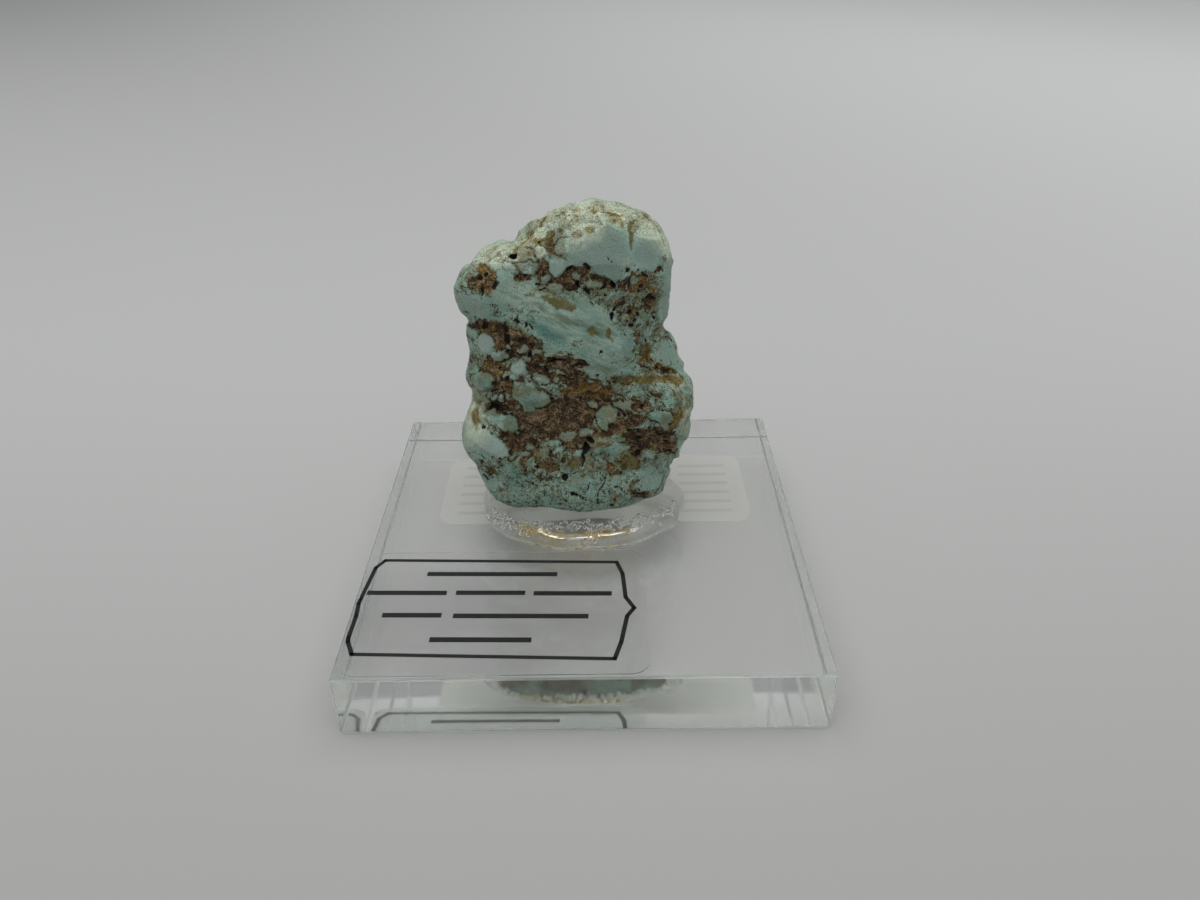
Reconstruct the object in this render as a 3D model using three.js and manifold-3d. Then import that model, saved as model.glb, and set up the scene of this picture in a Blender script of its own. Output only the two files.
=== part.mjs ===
// A raw turquoise nugget glued to a square slab of clear acrylic, with two stickers.
// Millimetres, +Z up. The origin is on the surface that it stands on, under the slab's centre;
// +X is to the right and -Y is the front, where the clear sticker is.
import * as THREE from 'three';
import { mergeVertices } from 'three/addons/utils/BufferGeometryUtils.js';
import Module from 'manifold-3d';

// Driving dimensions
const SLAB_SIDE = 63.5; // 2.5 in square
const SLAB_HEIGHT = 9.525; // 3/8 in sheet
const SLAB_CORNER = 0.6; // radius of the four upright edges
const SLAB_EDGE = 0.3; // width of the polished edge round both faces
const STICKER = 0.1; // thickness of both stickers
const STICKER_CORNER = 2.5;
const CLEARANCE = 0.35; // between the stone and its bed of adhesive

const SLAB_TOP = STICKER + SLAB_HEIGHT;
const FRONT_LABEL = { width: 39.5, depth: 24.6, x: -11.3, y: -18.9 };
const REAR_LABEL = { width: 50.8, depth: 19.05, x: 1.3, y: 16.05 };

// The puddle of adhesive: half widths, centre and crown height
const PAD = { halfWidth: 15.4, halfDepth: 12, x: -0.3, y: 5.2, height: 3 };

// The stone is a cluster of rounded lobes that run into each other.
// Each lobe: centre x, y, z, then its three radii.
const STONE_CENTRE = new THREE.Vector3(-1, 8, 33);
const STONE_REACH = new THREE.Vector3(17, 9, 24); // half its rough width, depth and height
const STONE_DETAIL = 18; // each of the 20 starting triangles is cut into (detail + 1) squared
const BLEND = 0.75; // how softly one lobe runs into the next
const LOBES = [
  // crown
  [1.4, 8.8, 50.0, 8.3, 6.8, 7.0],
  [7.0, 8.0, 48.3, 5.5, 6.4, 7.0],
  [-3.4, 9.2, 49.6, 6.2, 5.8, 4.8],
  [3.5, 12.0, 46.0, 6.5, 4.8, 7.0],
  // left shoulder
  [-12.6, 7.0, 45.0, 5.1, 5.4, 4.3],
  [-9.8, 8.6, 46.9, 5.5, 5.4, 4.6],
  // chest, with the back swelling out behind it
  [-3.0, 7.8, 41.2, 12.4, 7.4, 7.6],
  [1.5, 6.8, 37.5, 7.5, 6.6, 6.2],
  [6.2, 8.8, 42.0, 6.0, 6.2, 6.4],
  [-5.0, 12.0, 37.0, 8.5, 5.4, 9.5],
  // waist
  [-11.4, 8.6, 38.2, 5.3, 6.0, 4.3],
  [-11.4, 8.2, 32.6, 5.5, 6.6, 4.6],
  [-3.0, 8.4, 33.5, 12.4, 7.8, 7.2],
  // right hip, with its ledge
  [10.0, 6.8, 28.2, 6.3, 7.8, 5.2],
  [8.0, 9.0, 33.8, 5.8, 6.0, 5.2],
  [9.2, 7.6, 22.9, 6.9, 7.2, 5.2],
  // belly and left flank
  [-1.0, 8.4, 25.5, 12.6, 8.4, 7.4],
  [2.5, 12.4, 26.0, 9.0, 6.0, 8.0],
  [-11.6, 7.4, 21.6, 7.3, 7.0, 5.5],
  [-10.8, 8.4, 26.8, 6.0, 6.4, 4.2],
  [-2.0, 7.6, 18.6, 12.8, 8.2, 6.8],
  [5.6, 7.8, 17.0, 7.7, 7.2, 5.2],
  // foot, with a rounded rim along its front
  [-8.4, 7.8, 15.8, 8.3, 7.0, 4.8],
  [4.8, 8.0, 15.2, 8.1, 7.0, 4.2],
  [-9.8, 4.8, 14.3, 5.4, 4.6, 3.3],
  [-2.2, 3.8, 14.0, 5.6, 4.6, 3.0],
  [4.2, 4.2, 14.2, 5.4, 4.6, 3.2],
];

const wasm = await Module();
wasm.setup();

// Signed distance to one ellipsoidal lobe, good near its surface
function lobeDistance([x, y, z, rx, ry, rz], p) {
  const [dx, dy, dz] = [(p.x - x) / rx, (p.y - y) / ry, (p.z - z) / rz];
  const scaled = Math.hypot(dx, dy, dz);
  return (scaled * (scaled - 1)) / Math.hypot(dx / rx, dy / ry, dz / rz);
}

// Signed distance to the whole cluster, with its valleys filled over a width of BLEND
function stoneDistance(p) {
  let sum = 0;
  for (const lobe of LOBES) sum += Math.exp(-lobeDistance(lobe, p) / BLEND);
  return -BLEND * Math.log(sum);
}

// Distance from the stone's centre to its surface, grown by `growth`, along a direction
function stoneRadius(direction, growth) {
  const outside = (t) => stoneDistance(direction.clone().multiplyScalar(t).add(STONE_CENTRE)) > growth;
  const step = 0.25;
  let far = 32;
  while (outside(far - step)) far -= step;
  let near = far - step;
  for (let i = 0; i < 18; i += 1) {
    const middle = (near + far) / 2;
    if (outside(middle)) far = middle;
    else near = middle;
  }
  return (near + far) / 2;
}

// A closed skin round the cluster, with triangles of nearly even size
function stoneGeometry(detail, growth = 0) {
  const skin = new THREE.IcosahedronGeometry(1, detail);
  skin.deleteAttribute('normal');
  skin.deleteAttribute('uv');
  const geometry = mergeVertices(skin);
  const points = geometry.attributes.position;
  const direction = new THREE.Vector3();
  for (let i = 0; i < points.count; i += 1) {
    direction.fromBufferAttribute(points, i).multiply(STONE_REACH).normalize();
    const radius = stoneRadius(direction, growth);
    direction.multiplyScalar(radius).add(STONE_CENTRE);
    points.setXYZ(i, direction.x, direction.y, direction.z);
  }
  geometry.computeVertexNormals();
  return geometry;
}

function toSolid(geometry) {
  const bare = new THREE.BufferGeometry();
  bare.setAttribute('position', geometry.attributes.position);
  bare.setIndex(geometry.index);
  const merged = mergeVertices(bare, 1e-5);
  const vertProperties = new Float32Array(merged.attributes.position.array);
  const triVerts = new Uint32Array(merged.index.array);
  return new wasm.Manifold(new wasm.Mesh({ numProp: 3, vertProperties, triVerts }));
}

function fromSolid(solid) {
  const { vertProperties, triVerts } = solid.getMesh();
  const geometry = new THREE.BufferGeometry();
  geometry.setAttribute('position', new THREE.BufferAttribute(vertProperties, 3));
  geometry.setIndex(new THREE.BufferAttribute(triVerts, 1));
  geometry.computeVertexNormals();
  return geometry;
}

function roundedRectangle(width, depth, radius) {
  const [x, y] = [width / 2, depth / 2];
  const shape = new THREE.Shape();
  shape.absarc(x - radius, y - radius, radius, 0, Math.PI / 2);
  shape.absarc(-x + radius, y - radius, radius, Math.PI / 2, Math.PI);
  shape.absarc(-x + radius, -y + radius, radius, Math.PI, 1.5 * Math.PI);
  shape.absarc(x - radius, -y + radius, radius, 1.5 * Math.PI, 2 * Math.PI);
  return shape;
}

function named(name, geometry, look, x = 0, y = 0, z = 0) {
  const mesh = new THREE.Mesh(geometry, new THREE.MeshStandardMaterial(look));
  mesh.name = name;
  mesh.position.set(x, y, z);
  return mesh;
}

// A square of acrylic sheet with its edges just broken
function acrylicSlab() {
  const inner = SLAB_SIDE - 2 * SLAB_EDGE;
  const geometry = new THREE.ExtrudeGeometry(roundedRectangle(inner, inner, SLAB_CORNER - SLAB_EDGE), {
    depth: SLAB_HEIGHT - 2 * SLAB_EDGE,
    bevelThickness: SLAB_EDGE,
    bevelSize: SLAB_EDGE,
    bevelSegments: 1,
    curveSegments: 3,
  });
  const look = { color: 0xdfe4e2, roughness: 0.03, metalness: 0 };
  return named('acrylic_slab', geometry, look, 0, 0, STICKER + SLAB_EDGE);
}

function sticker(name, size, look, z) {
  const shape = roundedRectangle(size.width, size.depth, STICKER_CORNER);
  const geometry = new THREE.ExtrudeGeometry(shape, {
    depth: STICKER,
    bevelEnabled: false,
    curveSegments: 5,
  });
  return named(name, geometry, look, size.x, size.y, z);
}

// How far the puddle spreads at an angle, against its plain oval
function puddleSpread(angle) {
  return 1 + 0.03 * Math.cos(3 * angle + 0.6) + 0.015 * Math.sin(7 * angle);
}

// A low puddle with steep rounded sides, hollowed where the stone is bedded in it
function gluePad() {
  const profile = [[0, 0], [0.97, 0], [1, 0.12], [0.99, 0.36], [0.94, 0.6], [0.85, 0.8], [0.7, 0.94],
    [0.5, 1], [0, 1]];
  const dome = new THREE.LatheGeometry(profile.map(([r, h]) => new THREE.Vector2(r, h)), 56);
  const points = dome.attributes.position;
  for (let i = 0; i < points.count; i += 1) {
    const [x, height, y] = [points.getX(i), points.getY(i), -points.getZ(i)];
    const spread = puddleSpread(Math.atan2(y, x));
    points.setXYZ(
      i,
      PAD.x + x * spread * PAD.halfWidth,
      PAD.y + y * spread * PAD.halfDepth,
      SLAB_TOP + height * PAD.height,
    );
  }
  const bed = toSolid(stoneGeometry(11, CLEARANCE));
  const geometry = fromSolid(toSolid(dome).subtract(bed));
  return named('glue_pad', geometry, { color: 0xdadfdb, roughness: 0.08, metalness: 0 });
}

const model = new THREE.Group();
model.add(
  named('nugget', stoneGeometry(STONE_DETAIL), { color: 0x7f9d94, roughness: 0.6, metalness: 0 }),
  gluePad(),
  acrylicSlab(),
  sticker('front_label', FRONT_LABEL, { color: 0xc4c9c5, roughness: 0.25, metalness: 0 }, SLAB_TOP),
  sticker('underside_label', REAR_LABEL, { color: 0xe9e8e2, roughness: 0.7, metalness: 0 }, 0),
);

export default model;
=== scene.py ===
"""Looks for a raw turquoise nugget glued to a clear acrylic slab, laid out as an add-on.

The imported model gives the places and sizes. Each operator below makes one piece, or the stage.
Lists of spots are in millimetres on the stone's front face: how far across it, to the right, and
how far up it, as seen from 32 degrees above level.
"""
import math
import random

import bmesh
import bpy
import numpy as np
from mathutils import Matrix, Vector, noise
from mathutils.bvhtree import BVHTree


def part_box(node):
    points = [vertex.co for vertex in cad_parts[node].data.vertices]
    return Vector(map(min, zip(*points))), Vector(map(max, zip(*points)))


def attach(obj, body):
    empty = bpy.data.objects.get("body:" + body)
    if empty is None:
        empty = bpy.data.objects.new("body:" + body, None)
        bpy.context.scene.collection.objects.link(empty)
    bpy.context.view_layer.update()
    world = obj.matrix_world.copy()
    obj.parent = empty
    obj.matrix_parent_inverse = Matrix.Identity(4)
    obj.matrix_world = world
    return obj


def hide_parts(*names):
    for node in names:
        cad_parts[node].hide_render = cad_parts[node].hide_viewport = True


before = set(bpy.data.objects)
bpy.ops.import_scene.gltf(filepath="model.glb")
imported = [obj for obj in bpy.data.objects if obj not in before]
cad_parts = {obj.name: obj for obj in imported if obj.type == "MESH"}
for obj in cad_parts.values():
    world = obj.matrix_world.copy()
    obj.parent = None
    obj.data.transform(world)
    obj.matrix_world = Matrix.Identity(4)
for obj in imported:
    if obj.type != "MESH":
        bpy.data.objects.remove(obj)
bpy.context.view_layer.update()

bl_info = {
    "name": "Turquoise nugget on acrylic",
    "version": (1, 0, 0),
    "blender": (4, 5, 0),
    "location": "3D View > Sidebar > Nugget",
    "description": "Makes a raw turquoise nugget, its adhesive, acrylic slab and stickers",
    "category": "Object",
}

MM = 0.001
SLAB_LOW, SLAB_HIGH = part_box("acrylic_slab")
PAD_LOW, PAD_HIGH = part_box("glue_pad")
FILM_LOW, FILM_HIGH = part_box("front_label")
PAPER_LOW, PAPER_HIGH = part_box("underside_label")
CONTACT = 0.02 * MM  # how deep two clear pieces sink into each other, so that no air shows between

# The stone's front face: across, up and out of it
LOOK_TILT = math.radians(32)
ACROSS = np.array((1.0, 0.0, 0.0))
UP = np.array((0.0, math.sin(LOOK_TILT), math.cos(LOOK_TILT)))
OUT = np.array((0.0, -math.cos(LOOK_TILT), math.sin(LOOK_TILT)))
INSIDE = 8  # about how far back the stone's middle is, in mm


# ---------------------------------------------------------------- shader helpers

class Wire:
    """A value socket that can be used in sums: each operator adds the Math node for it."""

    def __init__(self, shader, socket):
        self.shader, self.socket = shader, socket

    def maths(self, operation, *values, clamp=False):
        node = self.shader.node("ShaderNodeMath", {"operation": operation, "use_clamp": clamp},
                                dict(enumerate(values or (self,))))
        return Wire(self.shader, node.outputs[0])

    def __add__(self, other):
        return self.maths("ADD", self, other)

    __radd__ = __add__

    def __sub__(self, other):
        return self.maths("SUBTRACT", self, other)

    def __rsub__(self, other):
        return self.maths("SUBTRACT", other, self)

    def __mul__(self, other):
        return self.maths("MULTIPLY", self, other)

    __rmul__ = __mul__

    def __truediv__(self, other):
        return self.maths("DIVIDE", self, other)

    def clamped(self):
        return self.maths("ADD", self, 0.0, clamp=True)

    def step(self, low, high):
        """0 below low, 1 above high, and smooth between."""
        node = self.shader.node("ShaderNodeMapRange", {"interpolation_type": "SMOOTHSTEP"},
                                {"Value": self, "From Min": low, "From Max": high})
        return Wire(self.shader, node.outputs["Result"])

    def larger(self, other):
        return self.maths("MAXIMUM", self, other)


class Shader:
    """A material's node tree, with one way of adding any node."""

    def __init__(self, name):
        self.material = bpy.data.materials.new(name)
        self.material.use_nodes = True
        self.tree = self.material.node_tree
        self.surface = self.tree.nodes["Principled BSDF"]
        self.place = self.node("ShaderNodeTexCoord").outputs["Object"]

    def node(self, kind, settings=None, sockets=None):
        made = self.tree.nodes.new(kind)
        for name, value in (settings or {}).items():
            setattr(made, name, value)
        for name, value in (sockets or {}).items():
            self.feed(made.inputs[name], value)
        return made

    def feed(self, socket, value):
        if isinstance(value, Wire):
            value = value.socket
        if isinstance(value, bpy.types.NodeSocket):
            self.tree.links.new(value, socket)
        else:
            socket.default_value = value

    def set(self, **sockets):
        """Feeds the Principled sockets: base_color stands for Base Color."""
        for name, value in sockets.items():
            self.feed(self.surface.inputs[name.replace("_", " ").title().replace("Ior", "IOR")], value)

    def attribute(self, name):
        node = self.node("ShaderNodeAttribute", {"attribute_name": name})
        return Wire(self, node.outputs["Fac"])

    def noise(self, grain, detail=3.0, rough=0.55, distort=0.0, place=None):
        """Noise from 0 to 1 whose lumps are about grain millimetres across."""
        node = self.node("ShaderNodeTexNoise", None, {
            "Vector": place or self.place, "Scale": 1 / (grain * MM), "Detail": detail,
            "Roughness": rough, "Distortion": distort})
        return Wire(self, node.outputs["Fac"])

    def cells(self, grain, place):
        """The distance from the middle of each random cell."""
        node = self.node("ShaderNodeTexVoronoi", None, {"Vector": place, "Scale": 1 / (grain * MM)})
        return Wire(self, node.outputs["Distance"])

    def stretched(self, scale, lean=0):
        """The place leant over by some degrees, then drawn out, for grain that runs one way."""
        return self.node("ShaderNodeMapping", {"vector_type": "TEXTURE"}, {
            "Vector": self.place, "Rotation": (0, math.radians(lean), 0), "Scale": scale}).outputs["Vector"]

    def dim(self, tint, factor):
        """A colour made darker or lighter."""
        return self.node("ShaderNodeVectorMath", {"operation": "SCALE"}, {
            "Vector": tint if isinstance(tint, bpy.types.NodeSocket) else tint[:3],
            "Scale": factor}).outputs["Vector"]

    def vein(self, grain, width):
        """Thin wandering lines, about grain millimetres apart."""
        off = (self.noise(grain, 5, 0.6, 0.6) - 0.5).maths("ABSOLUTE")
        return 1 - off.step(width * 0.3, width)

    def bent(self, grain, amount):
        """The place pushed about by noise, in mm."""
        push = self.node("ShaderNodeTexNoise", None, {
            "Vector": self.place, "Scale": 1 / (grain * MM), "Detail": 5.0}).outputs["Color"]
        return self.node("ShaderNodeVectorMath", {"operation": "MULTIPLY_ADD"}, {
            0: push, 1: (amount * MM,) * 3, 2: self.place}).outputs["Vector"]

    def mix(self, factor, first, second):
        """A colour between two colours."""
        node = self.node("ShaderNodeMix", {"data_type": "RGBA", "clamp_factor": True})
        self.feed(node.inputs[0], factor)
        self.feed(node.inputs[6], first)
        self.feed(node.inputs[7], second)
        return node.outputs[2]

    def layered(self, tint, *layers):
        """A colour with others laid over it in turn: how much of each, and the colour."""
        for amount, over in layers:
            tint = self.mix(amount, tint, over)
        return tint

    def bump(self, height, strength, distance):
        return self.node("ShaderNodeBump", None, {
            "Height": height, "Strength": strength, "Distance": distance}).outputs["Normal"]


def colour(name, text, default):
    return bpy.props.FloatVectorProperty(name=name, description=text, default=default, subtype="COLOR",
                                         size=4, min=0, max=1)


def strength(name, text, default):
    return bpy.props.FloatProperty(name=name, description=text, default=default, min=0)


def length(name, text, default):
    return bpy.props.FloatProperty(name=name, description=text, default=default, unit="LENGTH",
                                   subtype="DISTANCE", precision=6)


# ---------------------------------------------------------------- the stone's marks

# Nodules that stand out of the earthy matrix: across, up, half width, half height, turn in
# degrees, lift in mm, and how pale the nodule is
NODULES = (
    # shoulder and the crevice under the crown
    (-9.7, 44.5, 0.8, 0.55, 0, 0.3, 0.7), (-6.8, 44, 1.25, 0.75, 5, 0.45, 0.9),
    (-7.9, 44.3, 0.55, 0.5, 0, 0.3, 0.9), (-4.7, 42.5, 0.75, 0.65, 20, 0.4, 0.6),
    (-3.4, 41.3, 1, 0.75, 10, 0.45, 0.6), (-2.9, 43.7, 1.2, 1.1, 0, 0.4, 0.5),
    (-2.2, 46.2, 1.2, 0.9, -10, 0.3, 0.6), (-5.4, 45.9, 0.75, 0.85, 0, 0.3, 0.8),
    (-0.5, 42.7, 0.85, 0.38, 0, 0.25, 0.4), (1.7, 41.7, 1.3, 0.55, -5, 0.3, 0.4),
    (6.4, 42.4, 0.35, 0.3, 0, 0.2, 0.8),
    # left side, half way up
    (-13.4, 34.6, 1.15, 1.25, 0, 0.35, 0.8), (-9.6, 34.5, 0.42, 0.4, 0, 0.2, 0.7),
    (-10.1, 33.7, 0.5, 0.28, 0, 0.2, 0.8), (-8, 33.6, 0.62, 0.5, 0, 0.4, 1),
    (-11.4, 32.8, 1.35, 0.55, 0, 0.3, 0.6), (-8.8, 31.3, 1.2, 1.05, 10, 0.45, 0.8),
    (-7.6, 32.4, 0.55, 0.45, 0, 0.3, 0.8), (-10.6, 30.3, 0.65, 0.5, 0, 0.3, 0.6),
    (-6.2, 33.1, 0.8, 0.45, 0, 0.3, 0.7), (-5.4, 31.4, 0.5, 0.25, 0, 0.25, 0.9),
    (-6.6, 30.1, 0.6, 0.35, 0, 0.25, 0.5), (-5.8, 29.5, 1.35, 0.6, -15, 0.3, 0.3),
    (-3.6, 29.6, 0.6, 0.45, 0, 0.25, 0.5), (-3.1, 30.4, 0.6, 0.25, 0, 0.2, 0.7),
    (-4.3, 30.6, 0.5, 0.25, 0, 0.2, 0.6), (-14.3, 29.5, 2.2, 1.3, 5, 0.35, 0),
    (-8.3, 28.3, 1.9, 1, -5, 0.35, 0.2), (1.2, 29, 0.6, 0.25, 0, 0.2, 0.5), (4, 29.4, 0.5, 0.25, 0, 0.2, 0.5),
    # in the broad earthy band
    (-12.7, 27.2, 0.5, 0.5, 0, 0.3, 0.6), (-11.7, 27, 0.4, 0.5, 0, 0.3, 0.5),
    (-13.9, 26.8, 0.6, 0.35, -20, 0.3, 0.5), (-10.7, 27.2, 0.3, 0.3, 0, 0.2, 0.6),
    (-7.2, 27, 2.8, 1.3, 0, 0.4, 0.1), (-7.7, 25.8, 0.9, 0.75, 0, 0.35, 0.1),
    (-12.9, 24.4, 1.8, 1.05, -20, 0.5, 0.3), (-11.2, 23.5, 1.9, 1.15, -15, 0.5, 0.1),
    (-14.3, 20.9, 2.2, 1.55, -20, 0.6, 0.6), (-13, 20, 2.1, 1.35, -25, 0.55, 0.5),
    (-11.6, 21.5, 0.4, 0.22, -30, 0.2, 0.6), (-2.4, 21.6, 1.3, 0.75, 8, 0.35, 0.4),
    (0.3, 22, 1.2, 0.65, 10, 0.35, 0.4), (-3.7, 19.6, 1.15, 0.6, 25, 0.3, 0.5),
    (-7.9, 20, 0.7, 0.5, 0, 0.3, 0.4), (-5.4, 21.1, 0.5, 0.3, 0, 0.2, 0.5),
    (-8.6, 19.1, 0.8, 0.4, 0, 0.25, 0.3), (-10.5, 18.6, 0.4, 0.4, 0, 0.25, 0.5),
    (-0.5, 20.1, 0.38, 0.2, 0, 0.2, 0.9), (1.4, 26.1, 0.9, 0.55, 0, 0.3, 0.2),
    (3.3, 24.5, 1.6, 1.3, 0, 0.4, 0.1), (5.6, 26, 1.5, 0.6, 5, 0.3, 0.4), (2.9, 23, 0.9, 0.6, -20, 0.3, 0.1),
    (11, 24.1, 1.7, 0.85, -5, 0.4, 0), (11.6, 23.1, 0.6, 0.9, 10, 0.35, 0.1),
    (9.1, 22.7, 0.3, 0.4, 0, 0.2, 0.3), (9.1, 18.9, 0.9, 0.7, 0, 0.35, 0.3),
    (11.2, 18.6, 0.65, 0.5, 0, 0.3, 0.6), (14, 19.4, 0.8, 0.9, 0, 0.4, 0.4),
    (-13.3, 17.8, 0.85, 0.5, 0, 0.25, 0.5), (-8.9, 23.1, 0.3, 0.2, 0, 0.1, 0.3),
)

# Earthy matrix: across, up, half width, half height, turn, how solid it is, and how rusty
EARTH = (
    (-13, 42.2, 2.3, 2.1, 0, 0.62, 0.55), (-7.8, 42.9, 1.2, 0.6, 0, 0.9, 0.2),
    (-1.5, 41.6, 1.4, 0.65, 0, 1, 0.3), (-2.4, 42.6, 3.4, 0.75, -6, 1, 0.05), (-5, 43.9, 0.8, 1, 0, 1, 0.2),
    (0.1, 43.4, 1.8, 0.42, 0, 1, 0), (3, 42, 2.6, 0.5, -30, 0.9, 0.1), (5.4, 41.6, 1, 0.9, 30, 0.8, 0.2),
    (8.6, 41.6, 2.3, 1.8, 0, 0.14, 0.9), (7.6, 38.2, 2.8, 2.1, 0, 0.02, 0.8),
    (9.9, 38.8, 1.3, 2.6, 0, 0.04, 0.9), (8.9, 33, 1.3, 2, 0, 0.1, 0.9), (11.6, 30.9, 2, 0.5, -8, 0.9, 0.6),
    (9.5, 29.4, 6.2, 0.9, 0, 0.02, 1), (-11.2, 35.2, 3.4, 1.9, -8, 0.72, 0.45),
    (-14.2, 37, 2.6, 0.5, -8, 0.6, 0.25), (-8.4, 33.8, 2.6, 2, 0, 0.9, 0.3),
    (-12, 31.6, 3.4, 1.2, 0, 0.3, 0.8), (-6.4, 31.4, 2.6, 1.5, -20, 0.9, 0.25),
    (-2.4, 31.6, 3.3, 0.75, -2, 1.1, 0.05), (-1.2, 29.5, 2.8, 1.3, -10, 0.75, 0.35),
    (-11.4, 28.6, 2, 1.2, 0, 0.65, 0.35), (-12.5, 26, 2.8, 1.1, 0, 1.1, 0.08),
    (-5, 23.6, 6.2, 2.5, 0, 1.2, 0.12), (0, 25.6, 5.5, 1.8, 0, 1, 0.25), (1.4, 27.8, 4.2, 1.2, 0, 0.6, 0.9),
    (-10.9, 21.2, 1.5, 1.9, 20, 1, 0.1), (-9, 21, 1.8, 1.4, 0, 1, 0.1), (5, 22.9, 4.3, 0.9, 20, 1.1, 0.35),
    (9.6, 21.1, 4.4, 1.5, 0, 1.2, 0.1), (7.6, 19.4, 1.4, 1.1, 0, 0.9, 0.15),
    (12.2, 19.9, 1.7, 1.3, 0, 1, 0.15), (-1.4, 20.4, 1.9, 1.1, 0, 0.6, 0.35),
    (8.2, 25.5, 1.2, 0.9, 0, 0.75, 0.2), (6.1, 24.9, 1, 0.35, 0, 0.9, 0.15),
    (-6.6, 18.3, 3.6, 1.7, 0, 0.1, 0.5), (-4.8, 16.9, 2.6, 0.7, 0, 0.1, 0.6),
    (-1.8, 17.7, 1.7, 1.1, 30, 0.05, 0.6), (3.3, 16.9, 1, 0.9, 0, 0.3, 0.7),
    (4.9, 15.9, 0.8, 0.35, 0, 0.8, 0.4), (8.4, 12.8, 1.5, 0.55, 5, 1, 0.15),
    (-14.2, 16.5, 0.7, 1, 0, 0.5, 0.5), (13, 23.6, 1.4, 2.4, -15, 0.1, 1), (-15.2, 32.8, 1.2, 3.4, 5, 0, 0.9),
)

# Turquoise broken by webs of cracks: across, up, half width, half height, turn, and how wide they gape
WEBS = (
    (-9, 13.2, 5, 3.2, 0, -0.24), (-1, 13, 5.5, 3.6, 0, -0.2), (6.5, 14.2, 5, 3.8, 0, -0.14),
    (11.5, 17, 2.6, 2.6, 0, -0.08), (-14, 17.2, 3, 1.8, 0, 0.05), (-13.2, 32.2, 4, 4.4, 0, 0.08),
    (2, 40.6, 4.5, 2, -15, 0.1), (7, 39.4, 5, 3.4, 0, 0.16), (8.6, 35.6, 3.6, 3.4, 0, 0.1),
    (11.6, 34.6, 2.4, 3, 0, 0.02), (-12.4, 43.8, 4.6, 3, 10, 0.02), (-5, 48.4, 4.6, 2.6, 15, 0.1),
    (5.5, 50.4, 5.6, 1.8, 0, -0.06), (0, 50.6, 5, 1.8, 0, 0), (10.6, 26.4, 5.6, 3, 0, 0.06),
    (2.5, 18.6, 6.5, 3.4, 0, 0.04), (-7, 18, 5, 3, 0, 0.08), (-1.4, 38.6, 7, 2.4, -16, -0.12),
    (-9, 39.2, 3.2, 3, -20, -0.05), (-1, 41.8, 5, 2.2, 0, 0.12), (-13.8, 25, 3.4, 3.6, 0, 0.02),
    (2, 31.6, 5, 2.4, -10, -0.08), (-6.5, 27.6, 6, 3, 0, 0.08), (4, 25, 5, 3, 0, 0.1),
    (-11, 20.5, 6, 3, 0, 0), (7.5, 31.6, 5, 2.4, -10, 0), (12.4, 22.6, 3.6, 4, 0, 0.06),
    (-5, 45.2, 4, 2.6, 0, 0.12), (9.6, 43, 2.6, 2.4, 0, 0.05), (-15.2, 29, 2.4, 4.4, 0, -0.02),
)

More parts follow.
